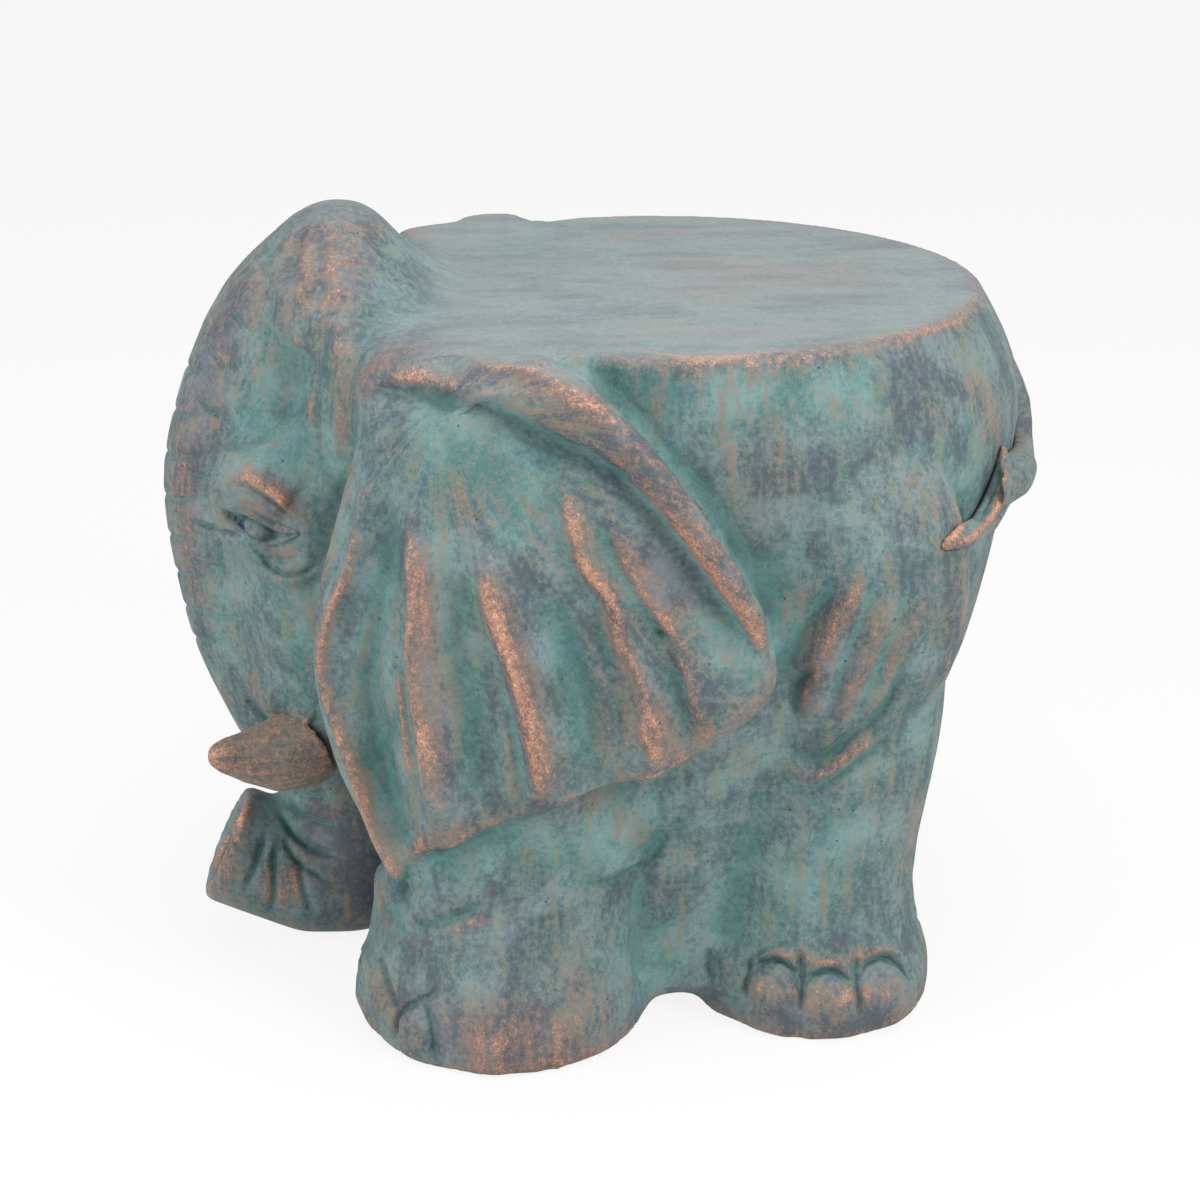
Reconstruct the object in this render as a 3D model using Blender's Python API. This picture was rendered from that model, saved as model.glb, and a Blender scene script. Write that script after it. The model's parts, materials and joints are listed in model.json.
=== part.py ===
"""Elephant garden stool: a hollow cast body with a bonded-on trunk, ears, tusks and tail, each on steel pins.

Metres, +Z up. The head faces -X, the elephant's left side faces -Y, and the feet stand on Z = 0.
The origin is at the middle of the stool's box in plan, on the floor.
"""

import math

import bmesh
import bpy
import numpy as np
from mathutils import Vector
from mathutils.bvhtree import BVHTree

# Seat and torso, which is widest at the rump and drawn in at the waist and belly
SEAT_HEIGHT = 0.347
SEAT_LENGTH = 0.316
SEAT_WIDTH = 0.312
SEAT_CENTRE_X = 0.026
SEAT_LEVELLING = 0.0024
RIM_DROP = 0.012
RIM_SWELL = 0.004
RUMP_DROP = 0.065
RUMP_REACH = 0.2135
RUMP_WIDTH = 0.328
WAIST_DROP = 0.182
WAIST_REACH = 0.192
WAIST_WIDTH = 0.312
BELLY_HEIGHT = 0.010
BELLY_REACH = 0.124
BELLY_WIDTH = 0.268
CHEST_X = -0.118
CHEST_TUCK = 0.030
CHEST_LEAN_SHARE = 0.7
CALF_SHARE = 0.4

# Haunches swell from the sides, and shoulders fill the seat's front corners
HAUNCH_RADII = (0.065, 0.038, 0.087)
HAUNCH_X = 0.105
HAUNCH_STAND = 0.009
SHOULDER_RADIUS = 0.022
SHOULDER_COURSE = [(0.042, 0.121), (0.076, 0.129), (0.130, 0.134)]

# Legs, as upright columns on rounded feet with flat soles
FRONT_LEG_X = -0.056
FRONT_LEG_Y = 0.116
FRONT_FOOT_LENGTH = 0.143
FRONT_FOOT_WIDTH = 0.146
FRONT_SHANK_LENGTH = 0.134
FRONT_SHANK_WIDTH = 0.116
SHOULDER_WIDTH = 0.080
HIND_LEG_X = 0.101
HIND_LEG_Y = 0.104
HIND_FOOT_LENGTH = 0.120
HIND_FOOT_WIDTH = 0.122
HIND_SHANK_LENGTH = 0.100
HIND_SHANK_WIDTH = 0.098
HAM_LENGTH = 0.124
FOOT_HEIGHT = 0.044
FOOT_SWELL_SHARE = 0.4
ANKLE_SHARE = 1.5
SOLE_EDGE = 0.006
KNEE_HEIGHT = 0.150
LEG_TOP = 0.230
TOES_PER_FOOT = 4
TOE_RADIUS = 0.014
TOE_INSET_SHARE = 0.72
TOE_RISE_SHARE = 0.9
TOE_HEIGHT_SHARE = 1.3
TOE_SPACING = math.radians(34)
FRONT_TOE_HEADING = math.radians(32)
HIND_TOE_HEADING = math.radians(78)

# Head: heights run from 0 at the mouth to 1 at the crown
MOUTH_HEIGHT = 0.112
CROWN_RISE = 0.0415
# Skull, as height share, front x, rear x and half width
SKULL_LEVELS = [
    (0.00, -0.181, -0.062, 0.057),
    (0.14, -0.193, -0.062, 0.079),
    (0.34, -0.198, -0.062, 0.093),
    (0.53, -0.195, -0.062, 0.091),
    (0.72, -0.192, -0.062, 0.079),
    (0.85, -0.177, -0.070, 0.067),
    (0.91, -0.169, -0.095, 0.057),
    (0.97, -0.155, -0.107, 0.037),
    (1.00, -0.139, -0.125, 0.012),
]
# Ridge down the middle of the face, as height share, front x, rear x and half width
FACE_LEVELS = [
    (-0.04, -0.189, -0.099, 0.034),
    (0.13, -0.209, -0.119, 0.039),
    (0.27, -0.2185, -0.128, 0.044),
    (0.49, -0.2245, -0.134, 0.046),
    (0.69, -0.211, -0.121, 0.045),
    (0.845, -0.190, -0.150, 0.041),
    (0.95, -0.162, -0.122, 0.032),
]
# Temples, as x, distance from the middle, drop from the seat and radius, and swellings for the eyes
TEMPLE_COURSE = [
    (-0.137, 0.030, -0.007, 0.032),
    (-0.127, 0.052, 0.019, 0.032),
    (-0.129, 0.070, 0.051, 0.024),
    (-0.131, 0.080, 0.081, 0.010),
]
ORBIT_X = -0.166
ORBIT_OUT = 0.058
ORBIT_DROP = 0.092
ORBIT_RADII = (0.032, 0.027, 0.036)
NECK_X = -0.092
NECK_DROP = 0.122
NECK_WIDTH = 0.252
NECK_RADII = (0.050, 0.052, 0.105)

# Trunk: hangs from the mouth, swings a little to the left and curls forward to an open tip
TRUNK_X = -0.132
TRUNK_DIAMETER = 0.066
TRUNK_TOP_DIAMETER = 0.080
TRUNK_TIP_DIAMETER = 0.062
TRUNK_EMBED = 0.026
TRUNK_FLOOR_GAP = 0.001
TRUNK_SWING = 0.022
TRUNK_TIP_X = -0.2005
TRUNK_TIP_HEIGHT = 0.0525
TRUNK_TIP_RISE = math.radians(25)
NOSTRIL_DEPTH = 0.014
NOSTRIL_LIP_SHARE = 0.74
NOSTRIL_FLOOR_SHARE = 0.46
# Drop of the trunk, as shares of the swing, of the height from bend to mouth and of the widening to the top
TRUNK_DROP_SHARES = [(0.2, 0.8, 1.0), (0.6, 0.4, 0.4)]
TRUNK_CURL_SHARE = 0.34

# Tusks: short cones set in the cheeks
TUSK_ROOT_X = -0.133
TUSK_ROOT_Y = 0.054
TUSK_RISE = 0.016
TUSK_LENGTH = 0.074
TUSK_SPLAY = math.radians(23)
TUSK_SAG = 0.006
TUSK_DIAMETER = 0.034
TUSK_TIP_DIAMETER = 0.0045
TUSK_SOCKET_RADII = (0.034, 0.026, 0.030)
TUSK_SOCKET_RISE = 0.008
TUSK_TAPER_SHARE = 2.2
TUSK_RING_SHARES = [0.0, 0.3, 0.55, 0.75, 0.9, 0.98, 1.0]

# Ears: broad flaps hung from the neck, rolled along the top and back edge, pleated below
EAR_FRONT_STAND = 0.008
EAR_BACK_STAND = 0.021
EAR_FLARE_LENGTH = 0.076
EAR_TOP_TUCK = 0.017
EAR_NECK_TUCK = 0.014
EAR_FRONT_THICKNESS = 0.013
EAR_BACK_THICKNESS = 0.030
EAR_TOP_THINNING = 0.4
EAR_EDGE_ROUNDING = 0.004
EAR_ROLL = 0.006
EAR_ROLL_HEADING = math.radians(52)
EAR_BOWL = 0.007
EAR_PLEAT_HUB = (-0.085, -0.020)
EAR_PLEAT_ANGLE = math.radians(15)
EAR_PLEAT_DEPTH = 0.0030
# Bands over which the ear's changes set in, as heights from the seat, negative below it, or as x
EAR_NECK_TUCK_BAND = (-0.150, -0.030)
EAR_TOP_BAND = (-0.062, 0.004)
EAR_PLEAT_BAND = (-0.150, -0.070)
EAR_THICKENING_BAND = (-0.130, -0.040)
# Bands from the middle to the edge, as shares of the way, and the spread of the roll about its heading
EAR_ROLL_SHARES = (0.74, 1.0)
EAR_LIP_SHARES = (0.93, 1.0)
EAR_BOWL_SHARES = (0.1, 0.9)
EAR_PLEAT_SHARES = (0.1, 0.6)
EAR_ROUNDING_SHARES = (0.95, 1.0)
EAR_ROLL_SPREAD_SHARES = (-0.25, 0.35)
# Middle and outline, as x and height from the seat
EAR_MIDDLE = (-0.045, -0.112)
EAR_OUTLINE = [
    (-0.113, -0.026),
    (-0.130, -0.074),
    (-0.146, -0.142),
    (-0.136, -0.206),
    (-0.112, -0.250),
    (-0.092, -0.232),
    (-0.040, -0.209),
    (0.025, -0.187),
    (0.068, -0.155),
    (0.061, -0.114),
    (0.024, -0.053),
    (-0.016, -0.010),
    (-0.070, -0.004),
]

# Tail: drops from the rump and curls round to a tuft on the left haunch
TAIL_DROP = 0.043
TAIL_DIAMETER = 0.019
TUFT_WIDTH = 0.025
# Course over the skin, as y, drop from the root, height off the skin and radius
TAIL_COURSE = [
    (0.000, -0.012, -0.011, TAIL_DIAMETER / 2),
    (0.000, 0.008, -0.006, TAIL_DIAMETER / 2),
    (-0.001, 0.026, 0.001, TAIL_DIAMETER / 2),
    (-0.010, 0.041, 0.003, TAIL_DIAMETER / 2),
    (-0.032, 0.046, 0.003, TAIL_DIAMETER / 2),
    (-0.066, 0.043, 0.003, TUFT_WIDTH / 2),
    (-0.104, 0.042, 0.002, TUFT_WIDTH * 0.46),
    (-0.134, 0.043, 0.002, TUFT_WIDTH * 0.30),
    (-0.152, 0.046, 0.001, TUFT_WIDTH * 0.12),
]

# Hollow inside, open through a mouth in the belly
WALL = 0.018
MOUTH_LENGTH = 0.150
MOUTH_WIDTH = 0.094

# Steel pins, and the gaps that pins and bonded faces keep
PIN_DIAMETER = 0.006
TUSK_PIN_LENGTH = 0.034
TUSK_PIN_SHARE = 0.35
EAR_PIN_LENGTH = 0.024
EAR_PIN_SPOTS = {"upper": (-0.006, -0.062), "lower": (0.026, -0.110)}
TAIL_PIN_LENGTH = 0.020
TAIL_PIN_SINK = 0.0045
TRUNK_ROD_DIAMETER = 0.010
TRUNK_ROD_LENGTH = 0.080
PIN_GAP = 0.0003
BOND_GAP = 0.0004

# Mesh fineness: voxel size, smoothing passes and triangles kept of the blended forms, and counts of sides
BODY_VOXEL = 0.0050
BODY_SMOOTHING_STEPS = 7
BODY_TRIANGLE_COUNT = 5400
TRUNK_VOXEL = 0.0030
TRUNK_SMOOTHING_STEPS = 5
TRUNK_TRIANGLE_COUNT = 1000
HOLLOW_STEPS = 3
RING_SIDES = 36
TAIL_SIDES = 14
TUSK_SIDES = 16
PIN_SIDES = 20
EAR_SIDES = 46
EAR_OUTLINE_STEPS = 4
EAR_RING_SHARES = [0.05, 0.22, 0.40, 0.56, 0.70, 0.82, 0.91, 0.97, 1.0]
EAR_BACK_RING_SHARES = [1.0, 0.56, 0.05]

VERDIGRIS = (0.13, 0.27, 0.26, 1.0)
COPPER = (0.45, 0.22, 0.13, 1.0)
STEEL = (0.45, 0.46, 0.47, 1.0)

# Places that follow from the sizes above
RUMP_HEIGHT = SEAT_HEIGHT - RUMP_DROP
WAIST_HEIGHT = SEAT_HEIGHT - WAIST_DROP
CROWN_HEIGHT = SEAT_HEIGHT + CROWN_RISE
TUSK_HEIGHT = MOUTH_HEIGHT + TUSK_RISE
SEAT_FRONT_X = SEAT_CENTRE_X - SEAT_LENGTH / 2
SEAT_REAR_X = SEAT_CENTRE_X + SEAT_LENGTH / 2
FRONT_FOOT = (FRONT_LEG_X, FRONT_LEG_Y, FRONT_FOOT_LENGTH, FRONT_FOOT_WIDTH)
HIND_FOOT = (HIND_LEG_X, HIND_LEG_Y, HIND_FOOT_LENGTH, HIND_FOOT_WIDTH)
FRONT_SHANK = (FRONT_SHANK_LENGTH, FRONT_SHANK_WIDTH, FRONT_SHANK_LENGTH, SHOULDER_WIDTH)
HIND_SHANK = (HIND_SHANK_LENGTH, HIND_SHANK_WIDTH, HAM_LENGTH, HIND_SHANK_WIDTH)
SIDES = ((-1, "left"), (1, "right"))


def clear_scene():
    for existing in list(bpy.data.objects):
        bpy.data.objects.remove(existing, do_unlink=True)


def make_material(name, colour, roughness, metallic):
    material = bpy.data.materials.new(name)
    material.use_nodes = True
    shader = material.node_tree.nodes["Principled BSDF"]
    shader.inputs["Base Color"].default_value = colour
    shader.inputs["Roughness"].default_value = roughness
    shader.inputs["Metallic"].default_value = metallic
    return material


def add_object(name, mesh, parent=None, material=None):
    added = bpy.data.objects.new(name, mesh)
    bpy.context.scene.collection.objects.link(added)
    added.parent = parent
    if material:
        mesh.materials.clear()
        mesh.materials.append(material)
    return added


def add_guide(name, mesh, parent):
    """A cutter that shapes other pieces and isn't a piece itself."""
    guide = add_object(name, mesh, parent)
    guide.hide_render = True
    guide.display_type = "WIRE"
    return guide


def between(low, high, share):
    return low + (high - low) * share


def ease(value, start, end):
    """Rises smoothly from 0 at start to 1 at end."""
    share = min(1.0, max(0.0, (value - start) / (end - start)))
    return share * share * (3 - 2 * share)


def smooth_line(points, steps, closed=False):
    """Points on a Catmull-Rom curve through the given points, in any number of dimensions."""
    knots = np.array(points, float)
    count = len(knots)
    spans = count if closed else count - 1
    line = []
    for span in range(spans):
        if closed:
            before, start, end, after = (knots[(span + k) % count] for k in (-1, 0, 1, 2))
        else:
            before = knots[max(span - 1, 0)]
            start, end = knots[span], knots[span + 1]
            after = knots[min(span + 2, count - 1)]
        for step in range(steps):
            t = step / steps
            linear = (end - before) * t
            square = (2 * before - 5 * start + 4 * end - after) * t**2
            cube = (3 * start - before - 3 * end + after) * t**3
            line.append((2 * start + linear + square + cube) / 2)
    if not closed:
        line.append(knots[-1])
    return line


def finish_mesh(name, bm):
    mesh = bpy.data.meshes.new(name)
    bm.to_mesh(mesh)
    bm.free()
    mesh.shade_smooth()
    mesh.set_sharp_from_angle(angle=math.radians(50))
    return mesh


def ring(centre, across, along, sides=RING_SIDES):
    """An ellipse of points with the two half axes given as vectors."""
    centre, across, along = Vector(centre), Vector(across), Vector(along)
    turns = [2 * math.pi * side / sides for side in range(sides)]
    return [centre + across * math.cos(turn) + along * math.sin(turn) for turn in turns]


def loft(name, rings):
    """A closed skin over rings of equal count, with flat ends."""
    bm = bmesh.new()
    loops = [[bm.verts.new(point) for point in points] for points in rings]
    for lower, upper in zip(loops, loops[1:]):
        for k in range(len(lower)):
            j = (k + 1) % len(lower)
            bm.faces.new((lower[k], lower[j], upper[j], upper[k]))
    bm.faces.new(reversed(loops[0]))
    bm.faces.new(loops[-1])
    bmesh.ops.recalc_face_normals(bm, faces=bm.faces)
    bmesh.ops.triangulate(bm, faces=bm.faces)
    return finish_mesh(name, bm)


def column(name, levels, side=0.0, steps=5):
    """A skin over level ellipses. Each level is height, front x, rear x and half width."""
    rings = []
    for height, front, rear, half_width in smooth_line(levels, steps):
        centre = ((front + rear) / 2, side, height)
        rings.append(ring(centre, ((rear - front) / 2, 0, 0), (0, half_width, 0)))
    return loft(name, rings)


def tube(name, path, radii, sides=RING_SIDES, cup=0.0):
    """A tube along a path, with a radius at each point. A cup hollows its far end."""
    points = [Vector(point) for point in path]
    rings = []
    side = Vector((0, 1, 0)) if abs((points[1] - points[0]).normalized().y) < 0.8 else Vector((0, 0, 1))
    for k, point in enumerate(points):
        tangent = (points[min(k + 1, len(points) - 1)] - points[max(k - 1, 0)]).normalized()
        lift = tangent.cross(side).normalized()
        side = lift.cross(tangent).normalized()
        rings.append(ring(point, side * radii[k], lift * radii[k], sides))
    if cup:
        inward = (points[-2] - points[-1]).normalized()
        middle = points[-1]
        lip = [middle + (point - middle) * NOSTRIL_LIP_SHARE for point in rings[-1]]
        floor = [middle + (point - middle) * NOSTRIL_FLOOR_SHARE + inward * cup for point in rings[-1]]
        rings += [lip, floor]
    return loft(name, rings)


def ball(name, centre, radii):
    bm = bmesh.new()
    bmesh.ops.create_icosphere(bm, subdivisions=3, radius=1.0)
    for vertex in bm.verts:
        vertex.co = Vector(centre) + Vector([c * r for c, r in zip(vertex.co, radii)])
    return finish_mesh(name, bm)


def join_meshes(name, meshes):
    bm = bmesh.new()
    for mesh in meshes:
        bm.from_mesh(mesh)
    return finish_mesh(name, bm)


def evaluated(piece):
    """A piece's mesh with its modifiers applied."""
    bpy.context.view_layer.update()
    graph = bpy.context.evaluated_depsgraph_get()
    return bpy.data.meshes.new_from_object(piece.evaluated_get(graph))


def blend_forms(forms, voxel, passes):
    """One skin over overlapping forms, with soft fillets where they meet."""
    lump = add_object("lump", join_meshes("lump", forms))
    remesh = lump.modifiers.new("blend", "REMESH")
    remesh.mode = "VOXEL"
    remesh.voxel_size = voxel
    remesh.use_smooth_shade = True
    smooth = lump.modifiers.new("soften", "SMOOTH")
    smooth.factor = 0.5
    smooth.iterations = passes
    mesh = evaluated(lump)
    bpy.data.objects.remove(lump, do_unlink=True)
    return mesh


def thin_out(mesh, triangles):
    """Keeps the shape with about that many triangles."""
    heavy = add_object("heavy", mesh)
    faces = sum(len(polygon.vertices) - 2 for polygon in mesh.polygons)
    modifier = heavy.modifiers.new("thin", "DECIMATE")
    modifier.ratio = min(1.0, triangles / faces)
    modifier.use_collapse_triangulate = True
    light = evaluated(heavy)
    bpy.data.objects.remove(heavy, do_unlink=True)
    return light


def cut(piece, cutter):
    modifier = piece.modifiers.new("cut_" + cutter.name, "BOOLEAN")
    modifier.operation = "DIFFERENCE"
    modifier.object = cutter
    modifier.solver = "EXACT"


def torso_forms():
    """The drum that carries the seat, with a haunch and a shoulder on each side."""
    calf_height = WAIST_HEIGHT / 2
    calf_reach = between(BELLY_REACH, WAIST_REACH, CALF_SHARE)
    calf_half_width = between(BELLY_WIDTH, WAIST_WIDTH, CALF_SHARE) / 2
    rim_reach = (RUMP_REACH + SEAT_REAR_X) / 2
    levels = [
        (BELLY_HEIGHT, CHEST_X + CHEST_TUCK, BELLY_REACH, BELLY_WIDTH / 2),
        (calf_height, CHEST_X, calf_reach, calf_half_width),
        (WAIST_HEIGHT, CHEST_X, WAIST_REACH, WAIST_WIDTH / 2),
        (RUMP_HEIGHT, between(CHEST_X, SEAT_FRONT_X, CHEST_LEAN_SHARE), RUMP_REACH, RUMP_WIDTH / 2),
        (SEAT_HEIGHT - RIM_DROP, SEAT_FRONT_X, rim_reach, SEAT_WIDTH / 2 + RIM_SWELL),
        (SEAT_HEIGHT, SEAT_FRONT_X, SEAT_REAR_X, SEAT_WIDTH / 2),
    ]
    forms = [column("torso", levels)]
    haunch_y = WAIST_WIDTH / 2 + HAUNCH_STAND - HAUNCH_RADII[1]
    for side, _ in SIDES:
        haunch = (HAUNCH_X, side * haunch_y, (RUMP_HEIGHT + WAIST_HEIGHT) / 2)
        forms.append(ball("haunch", haunch, HAUNCH_RADII))
        shoulder = [
            (SEAT_FRONT_X + back, side * out, SEAT_HEIGHT - SHOULDER_RADIUS) for back, out in SHOULDER_COURSE
        ]
        forms.append(tube("shoulder", shoulder, [SHOULDER_RADIUS] * len(shoulder)))
    return forms


def leg_forms(foot, shank):
    """A pair of legs that reach a little below the floor, where their soles are cut off level."""
    x, y, foot_length, foot_width = foot
    shank_length, shank_width, top_length, top_width = shank
    sole_half_length = foot_length / 2 - SOLE_EDGE
    levels = [
        (-FOOT_HEIGHT / 2, x - sole_half_length, x + sole_half_length, foot_width / 2 - SOLE_EDGE),
        (FOOT_HEIGHT * FOOT_SWELL_SHARE, x - foot_length / 2, x + foot_length / 2, foot_width / 2),
        (FOOT_HEIGHT * ANKLE_SHARE, x - shank_length / 2, x + shank_length / 2, shank_width / 2),
        (KNEE_HEIGHT, x - (shank_length + top_length) / 4, x + top_length / 2, shank_width / 2),
        (LEG_TOP, x - top_length / 2, x + top_length / 2, top_width / 2),
    ]
    return [column("leg", levels, side * y) for side, _ in SIDES]


def toe_forms(foot, heading):
    """Toe bulges round the outer front of each foot, centred on a heading from straight ahead."""
    x, y, foot_length, foot_width = foot
    inset = TOE_RADIUS * TOE_INSET_SHARE
    forms = []
    for side, _ in SIDES:
        for toe in range(TOES_PER_FOOT):
            turn = heading + TOE_SPACING * (toe - (TOES_PER_FOOT - 1) / 2)
            ahead = math.cos(turn) * (foot_length / 2 - inset)
            out = math.sin(turn) * (foot_width / 2 - inset)
            centre = (x - ahead, side * (y + out), TOE_RADIUS * TOE_RISE_SHARE)
            forms.append(ball("toe", centre, (TOE_RADIUS, TOE_RADIUS, TOE_RADIUS * TOE_HEIGHT_SHARE)))
    return forms


def head_levels(levels):
    """Turns height shares into heights."""
    return [(between(MOUTH_HEIGHT, CROWN_HEIGHT, share), *rest) for share, *rest in levels]


def head_forms():
    """Skull, face ridge, temples, eye swellings, neck and tusk sockets."""
    forms = [column("skull", head_levels(SKULL_LEVELS)), column("face_ridge", head_levels(FACE_LEVELS))]
    for side, _ in SIDES:
        path = [(x, side * out, SEAT_HEIGHT - drop) for x, out, drop, _ in TEMPLE_COURSE]
        forms.append(tube("temple", path, [radius for *_, radius in TEMPLE_COURSE]))
        orbit = (ORBIT_X, side * ORBIT_OUT, SEAT_HEIGHT - ORBIT_DROP)
        forms.append(ball("orbit", orbit, ORBIT_RADII))
        neck = (NECK_X, side * (NECK_WIDTH / 2 - NECK_RADII[1]), SEAT_HEIGHT - NECK_DROP)
        forms.append(ball("neck", neck, NECK_RADII))
        socket = (TUSK_ROOT_X, side * TUSK_ROOT_Y, TUSK_HEIGHT + TUSK_SOCKET_RISE)
        forms.append(ball("tusk_socket", socket, TUSK_SOCKET_RADII))
    return forms


def level_seat_and_soles(mesh):
    """Levels the seat to one plane and cuts the feet off flat at the floor."""
    bm = bmesh.new()
    bm.from_mesh(mesh)
    seat_starts = SEAT_FRONT_X + SHOULDER_COURSE[0][0] + SHOULDER_RADIUS / 2
    for vertex in bm.verts:
        below = SEAT_HEIGHT - vertex.co.z
        nearness = 1 - ease(abs(below), SEAT_LEVELLING, SEAT_LEVELLING * 3)
        behind_head = ease(vertex.co.x, seat_starts - SHOULDER_RADIUS, seat_starts)
        vertex.co.z += below * nearness * behind_head
    geometry = bm.verts[:] + bm.edges[:] + bm.faces[:]
    bmesh.ops.bisect_plane(bm, geom=geometry, plane_co=(0, 0, 0), plane_no=(0, 0, 1), clear_inner=True)
    bmesh.ops.holes_fill(bm, edges=[edge for edge in bm.edges if edge.is_boundary])
    return finish_mesh("body_skin", bm)


def body_skin():
    forms = torso_forms() + head_forms()
    forms += leg_forms(FRONT_FOOT, FRONT_SHANK) + leg_forms(HIND_FOOT, HIND_SHANK)
    forms += toe_forms(FRONT_FOOT, FRONT_TOE_HEADING) + toe_forms(HIND_FOOT, HIND_TOE_HEADING)
    blended = blend_forms(forms, BODY_VOXEL, BODY_SMOOTHING_STEPS)
    return thin_out(level_seat_and_soles(blended), BODY_TRIANGLE_COUNT)


def bond_face(skin, parent):
    """The body's skin moved out by the bond gap, which cuts the seat of each bonded piece."""
    guide = add_guide("bond_face", skin.copy(), parent)
    modifier = guide.modifiers.new("grow", "DISPLACE")
    modifier.strength = BOND_GAP
    modifier.mid_level = 0.0
    return guide


def hollow_mesh():
    """The void inside the casting, open through a mouth in the belly."""
    roof = SEAT_HEIGHT - WALL
    half_length = SEAT_LENGTH / 2 - WALL
    half_width = SEAT_WIDTH / 2 - WALL
    front, rear = SEAT_CENTRE_X - half_length, SEAT_CENTRE_X + half_length
    mouth_front, mouth_rear = SEAT_CENTRE_X - MOUTH_LENGTH / 2, SEAT_CENTRE_X + MOUTH_LENGTH / 2
    levels = [
        (-FOOT_HEIGHT, mouth_front, mouth_rear, MOUTH_WIDTH / 2),
        (FOOT_HEIGHT, mouth_front, mouth_rear, MOUTH_WIDTH / 2),
        (WAIST_HEIGHT, front, rear, WAIST_WIDTH / 2 - WALL * 2),
        (RUMP_HEIGHT, front, rear + WALL / 2, half_width),
        (roof - WALL, front, rear, half_width),
        (roof, front + WALL, rear - WALL, half_width - WALL),
    ]
    return column("hollow", levels, steps=HOLLOW_STEPS)


def trunk_mesh():
    """Drops behind the tusks and curls forward to an open tip."""
    radius = TRUNK_DIAMETER / 2
    top_radius = TRUNK_TOP_DIAMETER / 2
    tip_radius = TRUNK_TIP_DIAMETER / 2
    bottom = TRUNK_FLOOR_GAP + radius
    bend = Vector((TRUNK_X, -TRUNK_SWING, bottom))
    drop = [(TRUNK_X, 0, MOUTH_HEIGHT + TRUNK_EMBED)]
    drop_radii = [top_radius]
    for swing, rise, widening in TRUNK_DROP_SHARES:
        drop.append((TRUNK_X, -TRUNK_SWING * swing, between(bottom, MOUTH_HEIGHT, rise)))
        drop_radii.append(between(radius, top_radius, widening))
    drop.append(bend)
    drop_radii.append(radius)
    tip = Vector((TRUNK_TIP_X, -TRUNK_SWING, TRUNK_TIP_HEIGHT))
    forward = Vector((-math.cos(TRUNK_TIP_RISE), 0, math.sin(TRUNK_TIP_RISE)))
    underside = Vector((between(bend.x, tip.x, TRUNK_CURL_SHARE), bend.y, bottom))
    curl = [bend, underside, tip - forward * radius / 2, tip]
    forms = [
        tube("drop", drop, drop_radii),
        ball("bend", bend, [radius] * 3),
        tube("curl", curl, [radius, radius, tip_radius, tip_radius], cup=NOSTRIL_DEPTH),
    ]
    return thin_out(blend_forms(forms, TRUNK_VOXEL, TRUNK_SMOOTHING_STEPS), TRUNK_TRIANGLE_COUNT)


def tusk_line(side):
    """Root point and direction of a tusk."""
    root = Vector((TUSK_ROOT_X, side * TUSK_ROOT_Y, TUSK_HEIGHT))
    heading = Vector((-math.cos(TUSK_SPLAY), side * math.sin(TUSK_SPLAY), 0.0))
    return root, heading


def tusk_mesh(side):
    root, heading = tusk_line(side)
    path, radii = [], []
    for share in TUSK_RING_SHARES:
        sag = TUSK_SAG * math.sin(math.pi * share)
        taper = math.sqrt(1 - share**TUSK_TAPER_SHARE)
        path.append(root + heading * TUSK_LENGTH * share - Vector((0, 0, sag)))
        radii.append(between(TUSK_TIP_DIAMETER, TUSK_DIAMETER, taper) / 2)
    return tube("tusk", path, radii, sides=TUSK_SIDES)


def ear_reach(x, height):
    """How far the ear's outer face stands from the middle plane, before its rolls and pleats."""
    front_reach = NECK_WIDTH / 2 + EAR_FRONT_STAND
    back_reach = RUMP_WIDTH / 2 + EAR_BACK_STAND
    front = min(point[0] for point in EAR_OUTLINE)
    flare = ease(x, front - EAR_EDGE_ROUNDING, front + EAR_FLARE_LENGTH)
    neck_tuck = EAR_NECK_TUCK * (1 - flare) * ease(height, *EAR_NECK_TUCK_BAND)
    top_tuck = EAR_TOP_TUCK * ease(height, *EAR_TOP_BAND)
    return between(front_reach, back_reach, flare) - neck_tuck - top_tuck


def ear_relief(x, height, share, direction):
    """Rolled rim, bowl and pleats at a share of the way from the ear's middle to its edge."""
    upper = ease(math.cos(direction - EAR_ROLL_HEADING), *EAR_ROLL_SPREAD_SHARES)
    crest = math.sin(math.pi * ease(share, *EAR_ROLL_SHARES))
    roll = EAR_ROLL * (crest - ease(share, *EAR_LIP_SHARES))
    bowl = EAR_BOWL * math.sin(math.pi * ease(share, *EAR_BOWL_SHARES))
    fan = math.atan2(height - EAR_PLEAT_HUB[1], x - EAR_PLEAT_HUB[0])
    lower = (1 - ease(height, *EAR_PLEAT_BAND)) * ease(share, *EAR_PLEAT_SHARES)
    pleat = EAR_PLEAT_DEPTH * math.cos(2 * math.pi * fan / EAR_PLEAT_ANGLE) * lower
    return upper * (roll - bowl) + pleat


def ear_ring(side, edge, share, is_back):
    """The outline drawn in to a share of the way from the ear's middle, on the outer or the back face."""
    middle = np.array(EAR_MIDDLE)
    rounding = EAR_EDGE_ROUNDING * ease(share, *EAR_ROUNDING_SHARES)
    points = []
    for point in edge:
        x, height = middle + (point - middle) * share
        direction = math.atan2(point[1] - middle[1], point[0] - middle[0])
        reach = ear_reach(x, height) + ear_relief(x, height, share, direction)
        thickness = between(EAR_FRONT_THICKNESS, EAR_BACK_THICKNESS, ease(x, *EAR_THICKENING_BAND))
        thickness *= 1 - EAR_TOP_THINNING * ease(height, *EAR_TOP_BAND)
        inward = thickness if is_back else rounding
        points.append(Vector((x, side * (reach - inward), SEAT_HEIGHT + height)))
    return points


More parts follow.
